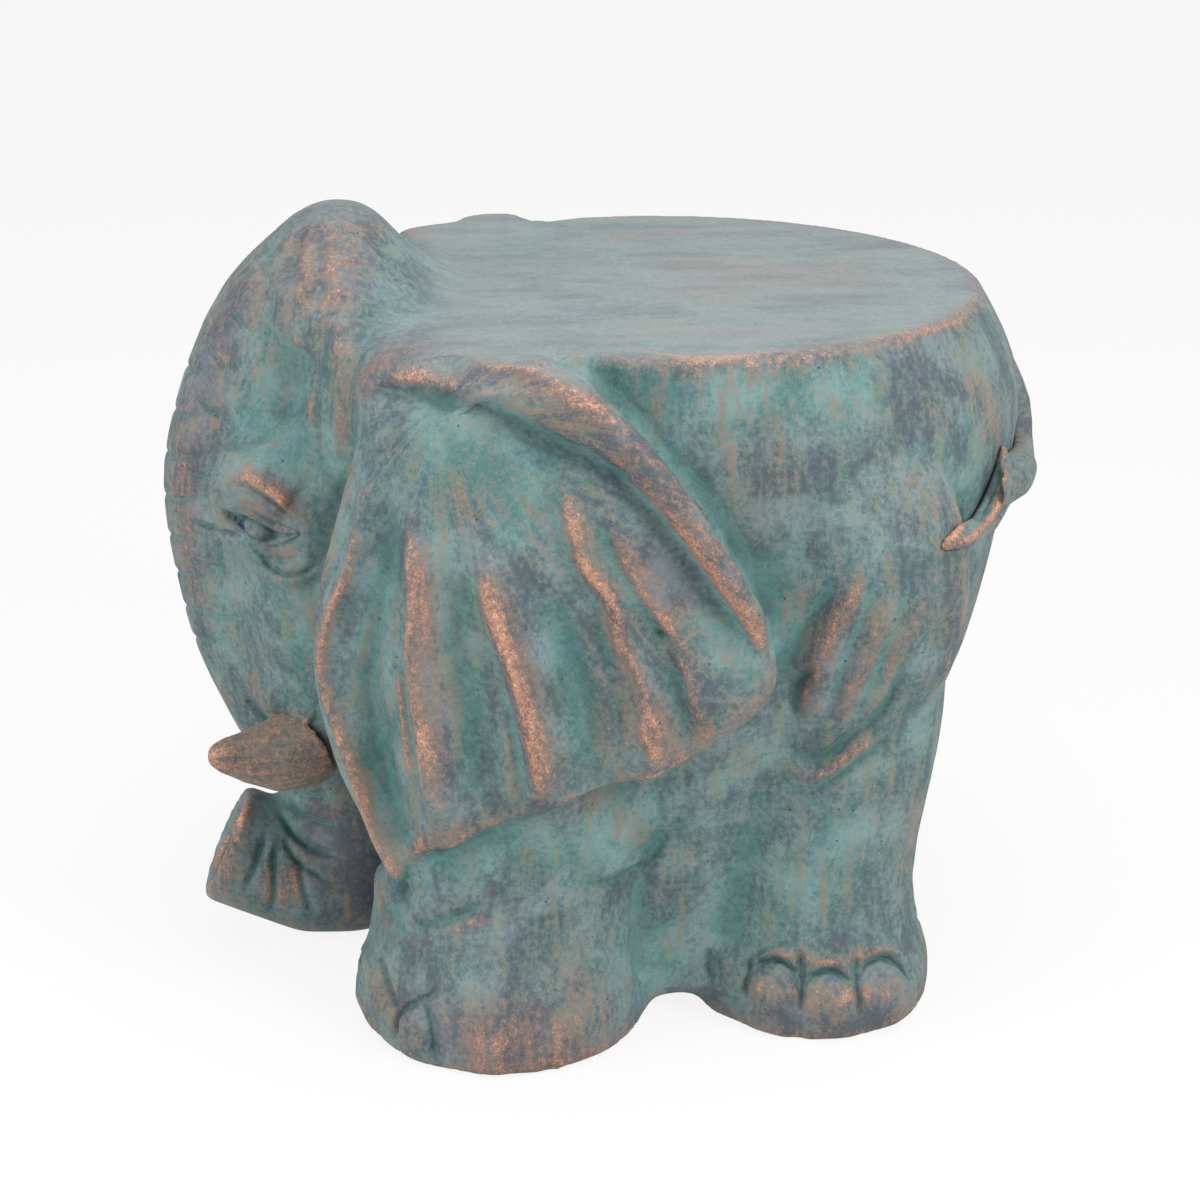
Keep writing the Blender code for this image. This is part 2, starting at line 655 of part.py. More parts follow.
def ear_mesh(side):
    """Rings drawn in from the outline to the middle, on an outer face and on a plainer back face."""
    outline = smooth_line(EAR_OUTLINE, EAR_OUTLINE_STEPS, closed=True)
    edge = [outline[int(k * len(outline) / EAR_SIDES)] for k in range(EAR_SIDES)]
    rings = [ear_ring(side, edge, share, False) for share in EAR_RING_SHARES]
    rings += [ear_ring(side, edge, share, True) for share in EAR_BACK_RING_SHARES]
    return loft("ear", rings)


def tail_path(skin):
    """Points down the rump and round to the left haunch, laid on the skin."""
    bm = bmesh.new()
    bm.from_mesh(skin)
    tree = BVHTree.FromBMesh(bm)
    bm.free()
    points = []
    for y, drop, stand, _ in TAIL_COURSE:
        behind = Vector((RUMP_REACH * 2, y, SEAT_HEIGHT - TAIL_DROP - drop))
        hit, normal, _, _ = tree.ray_cast(behind, Vector((-1, 0, 0)))
        points.append(hit + normal * stand)
    return points


def tail_mesh(points):
    course = [(*point, radius) for point, (*_, radius) in zip(points, TAIL_COURSE)]
    line = smooth_line(course, 2)
    return tube("tail", [entry[:3] for entry in line], [entry[3] for entry in line], sides=TAIL_SIDES)


def rod(name, centre, direction, diameter, length, gap=0.0):
    direction = Vector(direction).normalized()
    side = direction.orthogonal().normalized() * (diameter / 2 + gap)
    lift = direction.cross(side)
    half = direction * (length / 2 + gap)
    ends = (Vector(centre) - half, Vector(centre) + half)
    return loft(name, [ring(end, side, lift, PIN_SIDES) for end in ends])


def pin_places(tail_point):
    """Each pin's centre, direction, diameter and length, across the faces that it joins."""
    tail_centre = tail_point - Vector((TAIL_PIN_SINK, 0, 0))
    pins = {
        "trunk_rod": ((TRUNK_X, 0, MOUTH_HEIGHT), (0, 0, 1), TRUNK_ROD_DIAMETER, TRUNK_ROD_LENGTH),
        "tail_pin": (tail_centre, (1, 0, 0), PIN_DIAMETER, TAIL_PIN_LENGTH),
    }
    flank = (SEAT_WIDTH + RUMP_WIDTH) / 4
    for side, word in SIDES:
        root, heading = tusk_line(side)
        tusk_centre = root + heading * TUSK_LENGTH * TUSK_PIN_SHARE
        pins[word + "_tusk_pin"] = (tusk_centre, heading, PIN_DIAMETER, TUSK_PIN_LENGTH)
        for spot, (x, height) in EAR_PIN_SPOTS.items():
            ear_centre = (x, side * flank, SEAT_HEIGHT + height)
            pins[f"{word}_ear_{spot}_pin"] = (ear_centre, (0, side, 0), PIN_DIAMETER, EAR_PIN_LENGTH)
    return pins


def build_stool():
    clear_scene()
    casting = make_material("patinated_casting", VERDIGRIS, 0.62, 0.0)
    rubbed_casting = make_material("copper_rubbed_casting", COPPER, 0.5, 0.2)
    steel = make_material("steel", STEEL, 0.35, 1.0)
    stool = bpy.data.objects.new("stool", None)
    bpy.context.scene.collection.objects.link(stool)

    skin = body_skin()
    tail_points = tail_path(skin)
    _, _, tail_drop_end, *_ = tail_points
    pins = pin_places(tail_drop_end)
    bond = bond_face(skin, stool)
    hollow = add_guide("hollow", hollow_mesh(), stool)
    holes = [rod("hole", *place, PIN_GAP) for place in pins.values()]
    pin_holes = add_guide("pin_holes", join_meshes("pin_holes", holes), stool)

    body = add_object("body_casting", skin, stool, casting)
    cut(body, hollow)
    cut(body, pin_holes)

    bonded = {"trunk": trunk_mesh(), "tail": tail_mesh(tail_points)}
    for side, word in SIDES:
        bonded[word + "_ear"] = ear_mesh(side)
        bonded[word + "_tusk"] = tusk_mesh(side)
    for name, mesh in bonded.items():
        finish = rubbed_casting if name.endswith("tusk") else casting
        piece = add_object(name, mesh, stool, finish)
        cut(piece, bond)
        cut(piece, pin_holes)

    for name, place in pins.items():
        add_object(name, rod(name, *place), stool, steel)
    return stool


def centre_in_plan(stool):
    """Moves the stool so that its box is centred on the origin in plan."""
    lows, highs = [], []
    for piece in stool.children:
        if piece.hide_render:
            continue
        corners = np.array([vertex.co for vertex in evaluated(piece).vertices])
        lows.append(corners.min(axis=0))
        highs.append(corners.max(axis=0))
    middle = (np.min(lows, axis=0) + np.max(highs, axis=0)) / 2
    stool.location = (-middle[0], -middle[1], 0)


centre_in_plan(build_stool())
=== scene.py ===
"""Elephant garden stool: its castings sculpted and finished in a copper-rubbed verdigris patina.

The body, trunk and ears are blended into one skin, modelled with strokes, and parted again into their pieces.
"""

import json
import math
from collections import namedtuple

import bmesh
import bpy
import numpy as np
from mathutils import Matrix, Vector
from mathutils.bvhtree import BVHTree
from mathutils.kdtree import KDTree

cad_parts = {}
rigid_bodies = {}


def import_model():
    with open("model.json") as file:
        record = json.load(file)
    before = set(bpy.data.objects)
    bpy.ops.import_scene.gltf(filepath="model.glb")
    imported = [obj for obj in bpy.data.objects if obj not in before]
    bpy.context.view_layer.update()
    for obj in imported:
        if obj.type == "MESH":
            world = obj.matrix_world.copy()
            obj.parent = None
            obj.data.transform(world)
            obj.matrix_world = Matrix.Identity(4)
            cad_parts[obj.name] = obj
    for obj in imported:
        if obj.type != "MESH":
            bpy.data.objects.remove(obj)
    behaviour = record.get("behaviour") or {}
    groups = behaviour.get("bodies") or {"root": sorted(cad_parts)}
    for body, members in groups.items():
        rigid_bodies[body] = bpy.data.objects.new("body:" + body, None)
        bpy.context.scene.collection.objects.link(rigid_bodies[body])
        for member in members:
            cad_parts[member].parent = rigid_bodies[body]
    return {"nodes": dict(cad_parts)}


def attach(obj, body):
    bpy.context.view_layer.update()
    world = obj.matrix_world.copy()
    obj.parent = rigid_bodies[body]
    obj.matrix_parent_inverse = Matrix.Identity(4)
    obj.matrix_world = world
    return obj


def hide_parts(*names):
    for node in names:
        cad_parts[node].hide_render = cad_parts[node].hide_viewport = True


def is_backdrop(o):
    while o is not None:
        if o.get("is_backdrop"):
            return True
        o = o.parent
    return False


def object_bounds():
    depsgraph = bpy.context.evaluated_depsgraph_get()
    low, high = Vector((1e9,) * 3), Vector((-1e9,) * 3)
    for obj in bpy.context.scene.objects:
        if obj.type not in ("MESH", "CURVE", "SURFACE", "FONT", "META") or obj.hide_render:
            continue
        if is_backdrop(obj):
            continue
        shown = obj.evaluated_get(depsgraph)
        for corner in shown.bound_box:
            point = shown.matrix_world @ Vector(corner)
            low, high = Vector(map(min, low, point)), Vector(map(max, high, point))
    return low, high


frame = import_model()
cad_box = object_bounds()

# The photograph's camera, which places the strokes and takes the picture
PHOTO_SIZE = 1200
CAMERA_AZIMUTH = math.radians(-4)
CAMERA_ELEVATION = math.radians(20)
CAMERA_DISTANCE = 1.40
CAMERA_TARGET = (0.0, 0.0, 0.175)
FOCAL_LENGTH_PX = 2660
SENSOR_WIDTH_MM = 36.0

# How the skin is made, with lengths in metres
MILLIMETRE = 0.001
LEFT, RIGHT = -1, 1
OUTSIDE = 0.5
SKIN_VOXEL = 0.0030
FINE_VOXEL = 0.0013
PULL, PUSH_BACK = 0.5, -0.52
SKIN_PASSES = 14
REFINED_PASSES = 4
SCULPTED_PASSES = 1
SMALL_PASSES = 8
RELIEF_PASSES = {"fine_relief": 6, "broad_relief": 34}
RELIEF_SMOOTHING = 2
JOINT_OVERLAP = 0.0008
JOINT_WALL = 0.0025
MERGE_GAP = 1e-5
ROLL_MERGE_GAP = 1e-6
MOST_FACES = 185000

# How strokes are laid: the step along a course, how many points on each side a depth is compared with, the
# jump in depth that counts as a slip, the passes that even the course, and the fewest points that make one
COURSE_STEP = 2.0
COURSE_WINDOW = 6
COURSE_JUMP = 0.010
COURSE_PASSES = 6
FEWEST_HITS = 3

# How strokes fade, where pairs are the start and the end of a change
STROKE_REACH = 2.6
STROKE_DEPTH = 1.6
STROKE_FACING = (0.05, 0.55)
END_STRENGTH = 0.15
REFINE_REACH = 0.010
FINE_REFINE_REACH = 0.006

# Seat and soles
SEAT_HEIGHT = 0.347
SEAT_BAND = (0.002, 0.005)
SEAT_FACING = (0.75, 0.95)
TOP_DEPTH = 0.010
BEHIND_HEAD = (-0.075, -0.045)
BESIDE_DOME = (0.068, 0.088)
BEHIND_DOME = (-0.075, -0.050)
SOLE_HEIGHT = 0.0004
NUB_HEIGHT = 0.0015
NUB_VOXELS = 0.4

# Trunk's bend, the plug in the belly's mouth and the hollow
TRUNK_BEND = (-0.150, -0.030, 0.012)
TRUNK_BEND_REACH = 0.070
TRUNK_BEND_PASSES = 10
PLUG_PLACE = (0.026, 0.0, 0.024)
PLUG_RADII = (0.088, 0.060)
PLUG_DEPTH = 0.024
PLUG_SIDES = 48
HOLLOW_MIDDLE = (0.026, 0.0, 0.200)
HOLLOW_EDGE = math.radians(48)
HOLLOW_DROP = 0.03

# Yoke that fills the seat's front corner between head and ear: x, distance from the middle, height and radius
YOKE_COURSE = [
    (-0.080, 0.050, 0.3240, 0.0225),
    (-0.091, 0.068, 0.3240, 0.0225),
    (-0.098, 0.086, 0.3240, 0.0225),
    (-0.099, 0.103, 0.3240, 0.0225),
    (-0.090, 0.117, 0.3235, 0.0225),
    (-0.074, 0.126, 0.3230, 0.0225),
    (-0.056, 0.132, 0.3225, 0.0225),
    (-0.099, 0.124, 0.3235, 0.0225),
    (-0.088, 0.138, 0.3235, 0.0220),
    (-0.072, 0.143, 0.3230, 0.0220),
    (-0.106, 0.088, 0.3220, 0.0210),
    (-0.104, 0.106, 0.3180, 0.0200),
    (-0.096, 0.122, 0.3180, 0.0200),
    (-0.108, 0.096, 0.3060, 0.0170),
    (-0.105, 0.112, 0.3040, 0.0160),
    (-0.101, 0.126, 0.3030, 0.0160),
    (-0.111, 0.100, 0.2940, 0.0120),
    (-0.109, 0.113, 0.2930, 0.0110),
    (-0.106, 0.126, 0.2930, 0.0110),
]
YOKE_MIDDLE = (-0.095, 0.105, 0.328)
YOKE_REACH = 0.062
YOKE_PASSES = 30
DOME_FOOT = (-0.075, 0.0, 0.350)
DOME_FOOT_REACH = 0.062
DOME_FOOT_PASSES = 70

# Ears: the point that their pleats and brush marks fan from, as x and height, and how their faces and front
# edges are smoothed
EAR_HUB = (-0.085, 0.327)
EAR_FACE = (0.55, 0.85)
EAR_FACE_INSET = 3
EAR_FACE_PASSES = 60
EAR_FRONT = (0.25, 0.65)
EAR_FRONT_TURN = (0.15, 0.45)
EAR_FRONT_SPREAD = 2
EAR_FRONT_PASSES = 16

# Pieces that share one skin, and what each is called here
SKIN_NODES = ["body_casting", "trunk", "left_ear", "right_ear"]
PIECE_NAMES = {
    "body_casting": "stool_body",
    "trunk": "stool_trunk",
    "left_ear": "stool_left_ear",
    "right_ear": "stool_right_ear",
}

# Brush marks: how far they are drawn out, and the ear span at which they keep their width
BRUSH_STRETCH = 0.12
SEAT_STRETCH = 0.35
SEAT_LEVEL = 0.8
EAR_MEAN_SPAN = 0.11

# Painted sheen on the seat: how level it is there, how far below the top, and how it fades beside the head
SHEEN_FACING = (0.7, 0.95)
SHEEN_DEPTH = (0.014, 0.006)
SHEEN_FRONT = (-0.105, -0.075)
SHEEN_LEAST = 0.3
SHEEN_PASSES = 8

# Painted shade in the folds: its width as a share of the fold's, and the depth in millimetres that keeps all
# of it
SHADOW_WIDTH = 0.75
DARKEST_FOLD = -6.5

# Colours as they look on a screen
TEAL = (78, 120, 118)
TEAL_PALE = (118, 152, 150)
TEAL_BRIGHT = (104, 152, 146)
SLATE = (82, 90, 97)
SLATE_PALE = (112, 121, 127)
BROWN = (136, 116, 104)
COPPER_DARK = (138, 102, 86)
COPPER = (188, 140, 116)
COPPER_GLINT = (224, 186, 162)
CREASE = (52, 66, 72)
# Paler grey of the seat's painted sheen
SEAT_SHEEN = (136, 143, 144)
STEEL = (160, 163, 166)
STEEL_BRIGHT = (196, 198, 200)
FLOOR_COLOUR = (236, 236, 235)

# How much copper the tail, the tusks and their raised strokes get
TAIL_COPPER = 0.12
TUSK_COPPER = 0.7
RIDGE_COPPER = 0.4
RIDGE_RANGE = (-1.0, 1.5)

# Surface of the paint
SPECULAR = 0.32
BUMP_STRENGTH = 0.55
BUMP_DEPTH = 0.0009
PINHOLE_SPACING = 0.0075
PINHOLE_RARITY = 0.86

PATINA_INPUTS = [
    ("Place", "NodeSocketVector"),
    ("Brush", "NodeSocketVector"),
    ("Fine Relief", "NodeSocketFloat"),
    ("Broad Relief", "NodeSocketFloat"),
    ("Copper", "NodeSocketFloat"),
    ("Teal", "NodeSocketFloat"),
    ("Slate", "NodeSocketFloat"),
    ("Seat", "NodeSocketFloat"),
    ("Shadow", "NodeSocketFloat"),
]
PATINA_OUTPUTS = [
    ("Colour", "NodeSocketColor"),
    ("Roughness", "NodeSocketFloat"),
    ("Metal", "NodeSocketFloat"),
    ("Height", "NodeSocketFloat"),
]
PATINA_ATTRIBUTES = {
    "Brush": "brush",
    "Fine Relief": "fine_relief",
    "Broad Relief": "broad_relief",
    "Copper": "copper",
    "Teal": "teal",
    "Slate": "slate",
    "Seat": "seat",
    "Shadow": "shadow",
}

# Studio: the light from all round, then each lamp's name, place, size and power
AMBIENT = 0.40
LAMPS = [
    ("top_lamp", (0.10, -0.20, 1.6), 1.2, 13.0),
    ("key_lamp", (1.20, -1.25, 1.15), 0.7, 20.0),
    ("left_lamp", (-1.5, -0.7, 0.8), 1.0, 14.0),
]
FLOOR_SIZE = 30.0
FLOOR_GLOW = 0.87
FLOOR_ROUGHNESS = 0.9

# A stroke raises or lowers the skin along a course.
# Course: points in the photograph's pixels, or millimetres sideways and upwards for the front and rear views.
# Widths: millimetres to the picture's left and right of a course drawn downwards, and below and above of one
# drawn to the right. Height: millimetres, negative for a groove. Ends: the shares over which it fades in and
# out.
Stroke = namedtuple("Stroke", "course widths height ends view", defaults=((0.25, 0.25), "photo"))

# Broad forms of the head, ears, legs and feet
FORMS = [
    # Temple hollow, forehead tongue and the grooves beside it
    Stroke([(300, 345), (287, 385), (272, 425)], (17, 13), -8.5),
    Stroke([(334, 280), (343, 350), (346, 410), (343, 462)], (8, 11), 6.0, (0.3, 0.1)),
    Stroke([(303, 222), (292, 255), (285, 292)], (5, 5), -3.0),
    Stroke([(313, 222), (316, 262), (322, 312)], (4, 5), -2.4),
    Stroke([(271, 240), (266, 262), (262, 288)], (4, 4), -2.0),
    # Brow, eye socket, the bag below the eye and the groove between eye and ear
    Stroke([(240, 470), (268, 478), (298, 500)], (14, 12), 3.6),
    Stroke([(215, 497), (243, 478), (270, 490), (305, 520)], (7, 6), 3.4),
    Stroke([(232, 520), (258, 527), (284, 538)], (7, 7), -6.5),
    Stroke([(243, 556), (268, 572), (300, 577), (322, 562)], (6, 6), 3.6),
    Stroke([(343, 478), (333, 512), (321, 556), (309, 600)], (7, 6), -5.0),
    # Cheek over the tusk, and its roll round the tusk's root
    Stroke([(247, 676), (262, 690), (285, 700)], (9, 9), 4.0),
    Stroke([(262, 704), (288, 712), (312, 726)], (7, 8), 5.0, (0.2, 0.1)),
    # Ear: front fold, pleats fanned from the top, and the valleys between them
    Stroke([(375, 471), (367, 509), (354, 566), (337, 606), (327, 639), (327, 675), (335, 708), (349, 748),
            (366, 798), (382, 841), (398, 868)], (5, 7), 6.5, (0.1, 0.0)),
    Stroke([(394, 500), (386, 560), (372, 620), (364, 680), (374, 740), (387, 800), (400, 850)],
           (6, 9), -7.0, (0.25, 0.05)),
    Stroke([(412, 500), (416, 549), (419, 599), (417, 639), (419, 682), (426, 732), (433, 780), (438, 838)],
           (4.5, 10), 8.5, (0.2, 0.16)),
    Stroke([(446, 540), (455, 620), (462, 680), (471, 740), (480, 818)], (9, 11), -6.4, (0.3, 0.2)),
    Stroke([(478, 545), (492, 612), (512, 665), (525, 715), (535, 758), (541, 812)],
           (4.5, 12), 9.2, (0.25, 0.16)),
    Stroke([(540, 570), (563, 640), (580, 690), (590, 740), (597, 795)], (9, 11), -6.2, (0.3, 0.3)),
    Stroke([(563, 455), (568, 501), (580, 558), (608, 598), (618, 638), (637, 678), (647, 730), (652, 776)],
           (4.5, 12), 8.0, (0.25, 0.16)),
    Stroke([(600, 478), (621, 544), (642, 584), (667, 622), (692, 680), (706, 748)],
           (4.5, 10), 5.6, (0.25, 0.16)),
    # Ear: wide bowl, rolled rim, the crease under it and the crease behind it
    Stroke([(395, 425), (450, 435), (510, 465), (575, 525)], (26, 22), -6.0, (0.2, 0.3)),
    Stroke([(362, 411), (380, 390), (434, 391), (487, 407), (541, 437), (608, 471), (632, 495), (661, 525),
            (688, 560), (715, 600), (742, 635), (758, 668)], (13, 4), -8.5, (0.12, 0.12)),
    Stroke([(372, 362), (400, 352), (450, 352), (510, 367), (570, 395), (630, 445), (690, 518), (735, 583),
            (768, 650)], (8, 9), 5.0, (0.2, 0.1)),
    Stroke([(581, 351), (613, 397), (648, 437), (688, 491), (715, 536), (742, 576), (766, 619), (778, 668)],
           (4, 7), -5.0, (0.25, 0.05)),
    # Thigh: its front groove, and muscle ridges with grooves between them
    Stroke([(846, 566), (824, 598), (803, 625), (790, 655), (784, 690), (779, 716)], (5, 7), -4.8),
    Stroke([(872, 548), (850, 590), (830, 632), (812, 672), (803, 712)], (6, 7), 2.0, (0.35, 0.3)),
    Stroke([(884, 560), (868, 604), (850, 648), (835, 690), (825, 722)], (3.2, 3.2), -1.8),
    Stroke([(893, 556), (880, 610), (862, 655), (846, 700), (832, 735)], (4.5, 5), 1.8, (0.35, 0.3)),
    Stroke([(912, 570), (900, 620), (880, 665), (856, 712)], (3, 3.4), -1.8),
    Stroke([(927, 575), (916, 620), (896, 670), (868, 715)], (5, 6), 2.0),
    # Rump: cleft and the folds beside it
    Stroke([(0, 255), (0, 200), (0, 140), (0, 90)], (9, 9), -2.2, (0.3, 0.2), "rear"),
    Stroke([(34, 250), (58, 205), (68, 150), (66, 110)], (7, 8), -3.0, (0.3, 0.3), "rear"),
    Stroke([(60, 258), (88, 215), (100, 160)], (9, 9), 2.2, (0.3, 0.3), "rear"),
    # Hollow at the front of the leg, above the foot
    Stroke([(404, 886), (396, 906), (388, 928)], (8, 9), -5.0, (0.1, 0.3)),
    Stroke([(98, 112), (99, 94), (100, 74)], (26, 28), -19.0, (0.0, 0.4), "front"),
    # Elbow under the ear, and the back of the front leg
    Stroke([(606, 815), (628, 830), (645, 845)], (14, 14), 5.5),
    Stroke([(648, 862), (639, 903), (639, 956), (641, 986)], (5, 6), -4.2),
]

# Wrinkles and folds
FOLDS = [
    # Dome and face wrinkles
    Stroke([(228, 306), (244, 330)], (1.6, 1.6), -2.0),
    Stroke([(206, 346), (226, 371)], (1.6, 1.6), -2.0),
    Stroke([(196, 400), (210, 411), (232, 420)], (1.6, 1.6), -2.0),
    Stroke([(182, 470), (205, 478), (218, 486)], (1.5, 1.5), -1.5),
    Stroke([(184, 518), (212, 528), (239, 537)], (1.6, 1.6), -1.9),
    Stroke([(190, 560), (214, 568), (236, 572)], (1.5, 1.5), -1.5),
    Stroke([(196, 612), (222, 618), (254, 620)], (1.6, 1.6), -1.8),
    Stroke([(200, 629), (213, 639), (232, 646)], (1.5, 1.5), -1.5),
    Stroke([(214, 664), (234, 668), (250, 664)], (1.5, 1.5), -1.6),
    # Creases on the tongue and the ear's top roll
    Stroke([(337, 387), (342, 402), (349, 417)], (1.8, 2.0), -1.6),
    Stroke([(391, 358), (404, 346), (421, 334)], (2.0, 2.2), -1.6),
    # Lip over the tusk
    Stroke([(244, 700), (258, 712), (273, 730)], (2.4, 2.6), -3.0),
    # Small ridges and grooves on the ear
    Stroke([(399, 665), (404, 715), (412, 781)], (2.4, 3.0), 2.2),
    Stroke([(653, 627), (670, 642), (688, 662)], (2.6, 2.6), -2.2),
    Stroke([(500, 700), (508, 745), (512, 800)], (2.4, 3.0), 2.0),
    Stroke([(604, 640), (612, 690), (618, 760)], (2.4, 3.2), -2.0),
    # Trunk wrinkles and its open rim
    Stroke([(284, 784), (304, 795), (330, 797)], (1.8, 2.2), -2.8),
    Stroke([(283, 797), (300, 814), (318, 822), (342, 825)], (1.8, 2.2), -3.0),
    Stroke([(279, 810), (294, 834), (316, 850), (342, 856)], (1.8, 2.2), -3.0),
    Stroke([(282, 836), (300, 862), (330, 882)], (1.8, 2.2), -2.6),
    Stroke([(277, 840), (275, 878), (273, 913)], (1.8, 2.2), -2.8),
    Stroke([(267, 832), (257, 864), (243, 892)], (1.8, 2.2), -2.8),
    Stroke([(300, 860), (304, 885), (312, 915)], (1.8, 2.0), -1.8),
    Stroke([(249, 794), (246, 811), (236, 828), (227, 842), (219, 860), (213, 876)], (2.4, 3.4), 2.2),
    # Thigh folds
    Stroke([(812, 667), (797, 682), (793, 700), (797, 723)], (3.0, 3.5), -3.4),
    Stroke([(782, 732), (791, 751), (814, 759), (832, 753), (845, 740), (872, 723), (893, 694), (912, 640)],
           (3.2, 3.2), -3.2),
    Stroke([(780, 758), (800, 773), (822, 772), (846, 757), (874, 738)], (4.0, 3.0), 1.7),
    Stroke([(772, 782), (797, 789), (814, 790), (835, 780), (862, 759), (889, 742)], (3.0, 2.4), -2.8),
    Stroke([(793, 795), (814, 803), (837, 797)], (2.4, 2.2), -2.2),
    # Wrinkles across the brow and face, and round the back of the legs
    Stroke([(0, 306), (20, 308), (40, 316)], (1.8, 1.8), -1.6, (0.0, 0.3), "front"),
    Stroke([(0, 284), (22, 286), (42, 294)], (1.8, 1.8), -1.8, (0.0, 0.3), "front"),
    Stroke([(0, 262), (20, 264), (38, 271)], (1.8, 1.8), -1.6, (0.0, 0.3), "front"),
    Stroke([(0, 240), (22, 242), (42, 250)], (1.8, 1.8), -1.9, (0.0, 0.3), "front"),
    Stroke([(0, 219), (20, 221), (36, 227)], (1.8, 1.8), -1.6, (0.0, 0.3), "front"),
    Stroke([(0, 199), (20, 201), (38, 208)], (1.8, 1.8), -1.8, (0.0, 0.3), "front"),
    Stroke([(0, 180), (18, 182), (34, 187)], (1.8, 1.8), -1.6, (0.0, 0.3), "front"),
    Stroke([(0, 162), (16, 164), (30, 168)], (1.8, 1.8), -1.6, (0.0, 0.3), "front"),
    Stroke([(18, 238), (40, 226), (60, 224)], (2.2, 2.4), -2.0, (0.3, 0.3), "rear"),
    Stroke([(60, 130), (85, 120), (112, 128)], (2.6, 3.0), -2.6, (0.3, 0.3), "rear"),
    Stroke([(62, 114), (86, 105), (112, 112)], (2.2, 2.6), -2.0, (0.3, 0.3), "rear"),
    Stroke([(66, 40), (90, 34), (116, 42)], (2.0, 2.4), -1.8, (0.3, 0.3), "rear"),
    # Elbow folds and leg wrinkles
    Stroke([(580, 874), (598, 883), (625, 878), (652, 858), (671, 828)], (2.6, 3.0), -3.2),
    Stroke([(655, 790), (661, 812), (655, 838), (640, 858)], (2.0, 2.6), -2.0),
    Stroke([(606, 838), (611, 845), (622, 847)], (1.6, 1.8), -1.6),
    Stroke([(568, 850), (573, 858), (580, 862)], (1.6, 1.8), -1.4),
    Stroke([(405, 936), (430, 926), (457, 917), (488, 906)], (2.4, 3.4), -3.0),
    Stroke([(450, 934), (470, 924), (490, 910)], (2.2, 3.0), 1.2),
    Stroke([(407, 861), (405, 893), (409, 915)], (2.0, 2.6), -2.2),
]

# Eye and toes, which get a finer skin
FINE_FOLDS = [
    # Inner corner of the eye, the bag below it and the lines round it
    Stroke([(227, 514), (233, 518), (239, 522)], (2.4, 2.4), -2.4),
    Stroke([(256, 549), (270, 567), (287, 575), (307, 573), (318, 562)], (1.6, 1.8), -2.8),
    Stroke([(262, 554), (280, 561), (300, 556)], (1.5, 1.5), -1.2),
    Stroke([(226, 484), (244, 486), (266, 498), (292, 518)], (1.4, 1.6), -1.9),
    Stroke([(200, 526), (225, 532), (245, 537)], (1.4, 1.4), -1.7),
    Stroke([(214, 449), (240, 446), (268, 438)], (2.2, 2.6), -2.0),
    # Hind toes: nails, the creases and rolled edges over them, and the clefts between them
    Stroke([(726, 960), (730, 966), (734, 974)], (8.5, 8.0), 4.2, (0.0, 0.0)),
    Stroke([(766, 989), (771, 991), (777, 993)], (9.0, 8.5), 5.2, (0.0, 0.0)),
    Stroke([(823, 1001), (830, 1003), (837, 1004)], (9.5, 9.0), 5.2, (0.0, 0.0)),
    Stroke([(879, 994), (885, 994), (891, 992)], (9.5, 9.0), 5.2, (0.0, 0.0)),
    Stroke([(752, 974), (760, 964), (775, 960), (790, 968), (799, 985)], (1.6, 1.6), -3.8),
    Stroke([(803, 986), (812, 976), (828, 971), (845, 977), (855, 989)], (1.6, 1.6), -3.8),
    Stroke([(858, 981), (866, 966), (882, 958), (898, 964), (908, 980)], (1.6, 1.6), -3.8),
    Stroke([(756, 960), (775, 951), (793, 958)], (2.4, 2.6), 2.4),
    Stroke([(808, 968), (828, 961), (848, 967)], (2.4, 2.6), 2.4),
    Stroke([(864, 956), (882, 948), (903, 956)], (2.4, 2.6), 2.4),
    Stroke([(751, 955), (748, 975), (745, 997)], (2.0, 2.0), -3.8),
    Stroke([(800, 950), (801, 985), (801, 1012)], (2.0, 2.0), -3.8),
    Stroke([(856, 955), (857, 985), (858, 1017)], (2.0, 2.0), -3.8),
    Stroke([(710, 946), (708, 962), (712, 980)], (2.4, 2.4), -2.6),
    # Front toes
    Stroke([(364, 948), (367, 957), (371, 967)], (8.0, 7.0), 3.6, (0.0, 0.0)),
    Stroke([(380, 1000), (383, 1012), (388, 1026)], (9.0, 8.0), 3.2, (0.0, 0.0)),
    Stroke([(380, 956), (388, 985), (399, 1012)], (2.2, 2.2), -3.4),
    Stroke([(410, 1018), (413, 1024), (417, 1034)], (8.0, 8.0), 4.2, (0.0, 0.0)),
    Stroke([(442, 988), (420, 1000), (400, 1016), (396, 1040)], (2.0, 2.2), -3.6),
    Stroke([(423, 1000), (430, 1025), (434, 1058)], (2.0, 2.2), -3.4),
    Stroke([(92, 18), (97, 18), (102, 18)], (9, 9), 4.0, (0.0, 0.0), "front"),
    Stroke([(120, 18), (124, 18), (129, 18)], (9, 9), 4.0, (0.0, 0.0), "front"),
    Stroke([(110, 34), (110, 20), (111, 6)], (2, 2), -3.4, (0.25, 0.0), "front"),
    Stroke([(84, 26), (90, 33), (98, 35), (107, 30)], (1.7, 1.7), -3.2, (0.25, 0.25), "front"),
    Stroke([(113, 29), (121, 34), (130, 32), (136, 25)], (1.7, 1.7), -3.2, (0.25, 0.25), "front"),
]

# Eye: the ball's pixel, radius and how far it stands out, and each lid's course and radii in millimetres
EYE_SPOT = (259, 526)
EYE_RADIUS = 0.0080
EYE_STAND = 0.0044
EYE_SEGMENTS, EYE_RINGS = 40, 24
LIDS = [
    ([(221, 507), (231, 507), (243, 509), (259, 516), (279, 527), (299, 533)],
     (0.8, 1.8, 2.6, 3.0, 2.6, 0.8)),
    ([(237, 524), (245, 533), (255, 540), (269, 543), (285, 539), (299, 534)],
     (0.7, 1.3, 1.7, 1.8, 1.5, 0.7)),
]
ROLL_RESOLUTION = 5

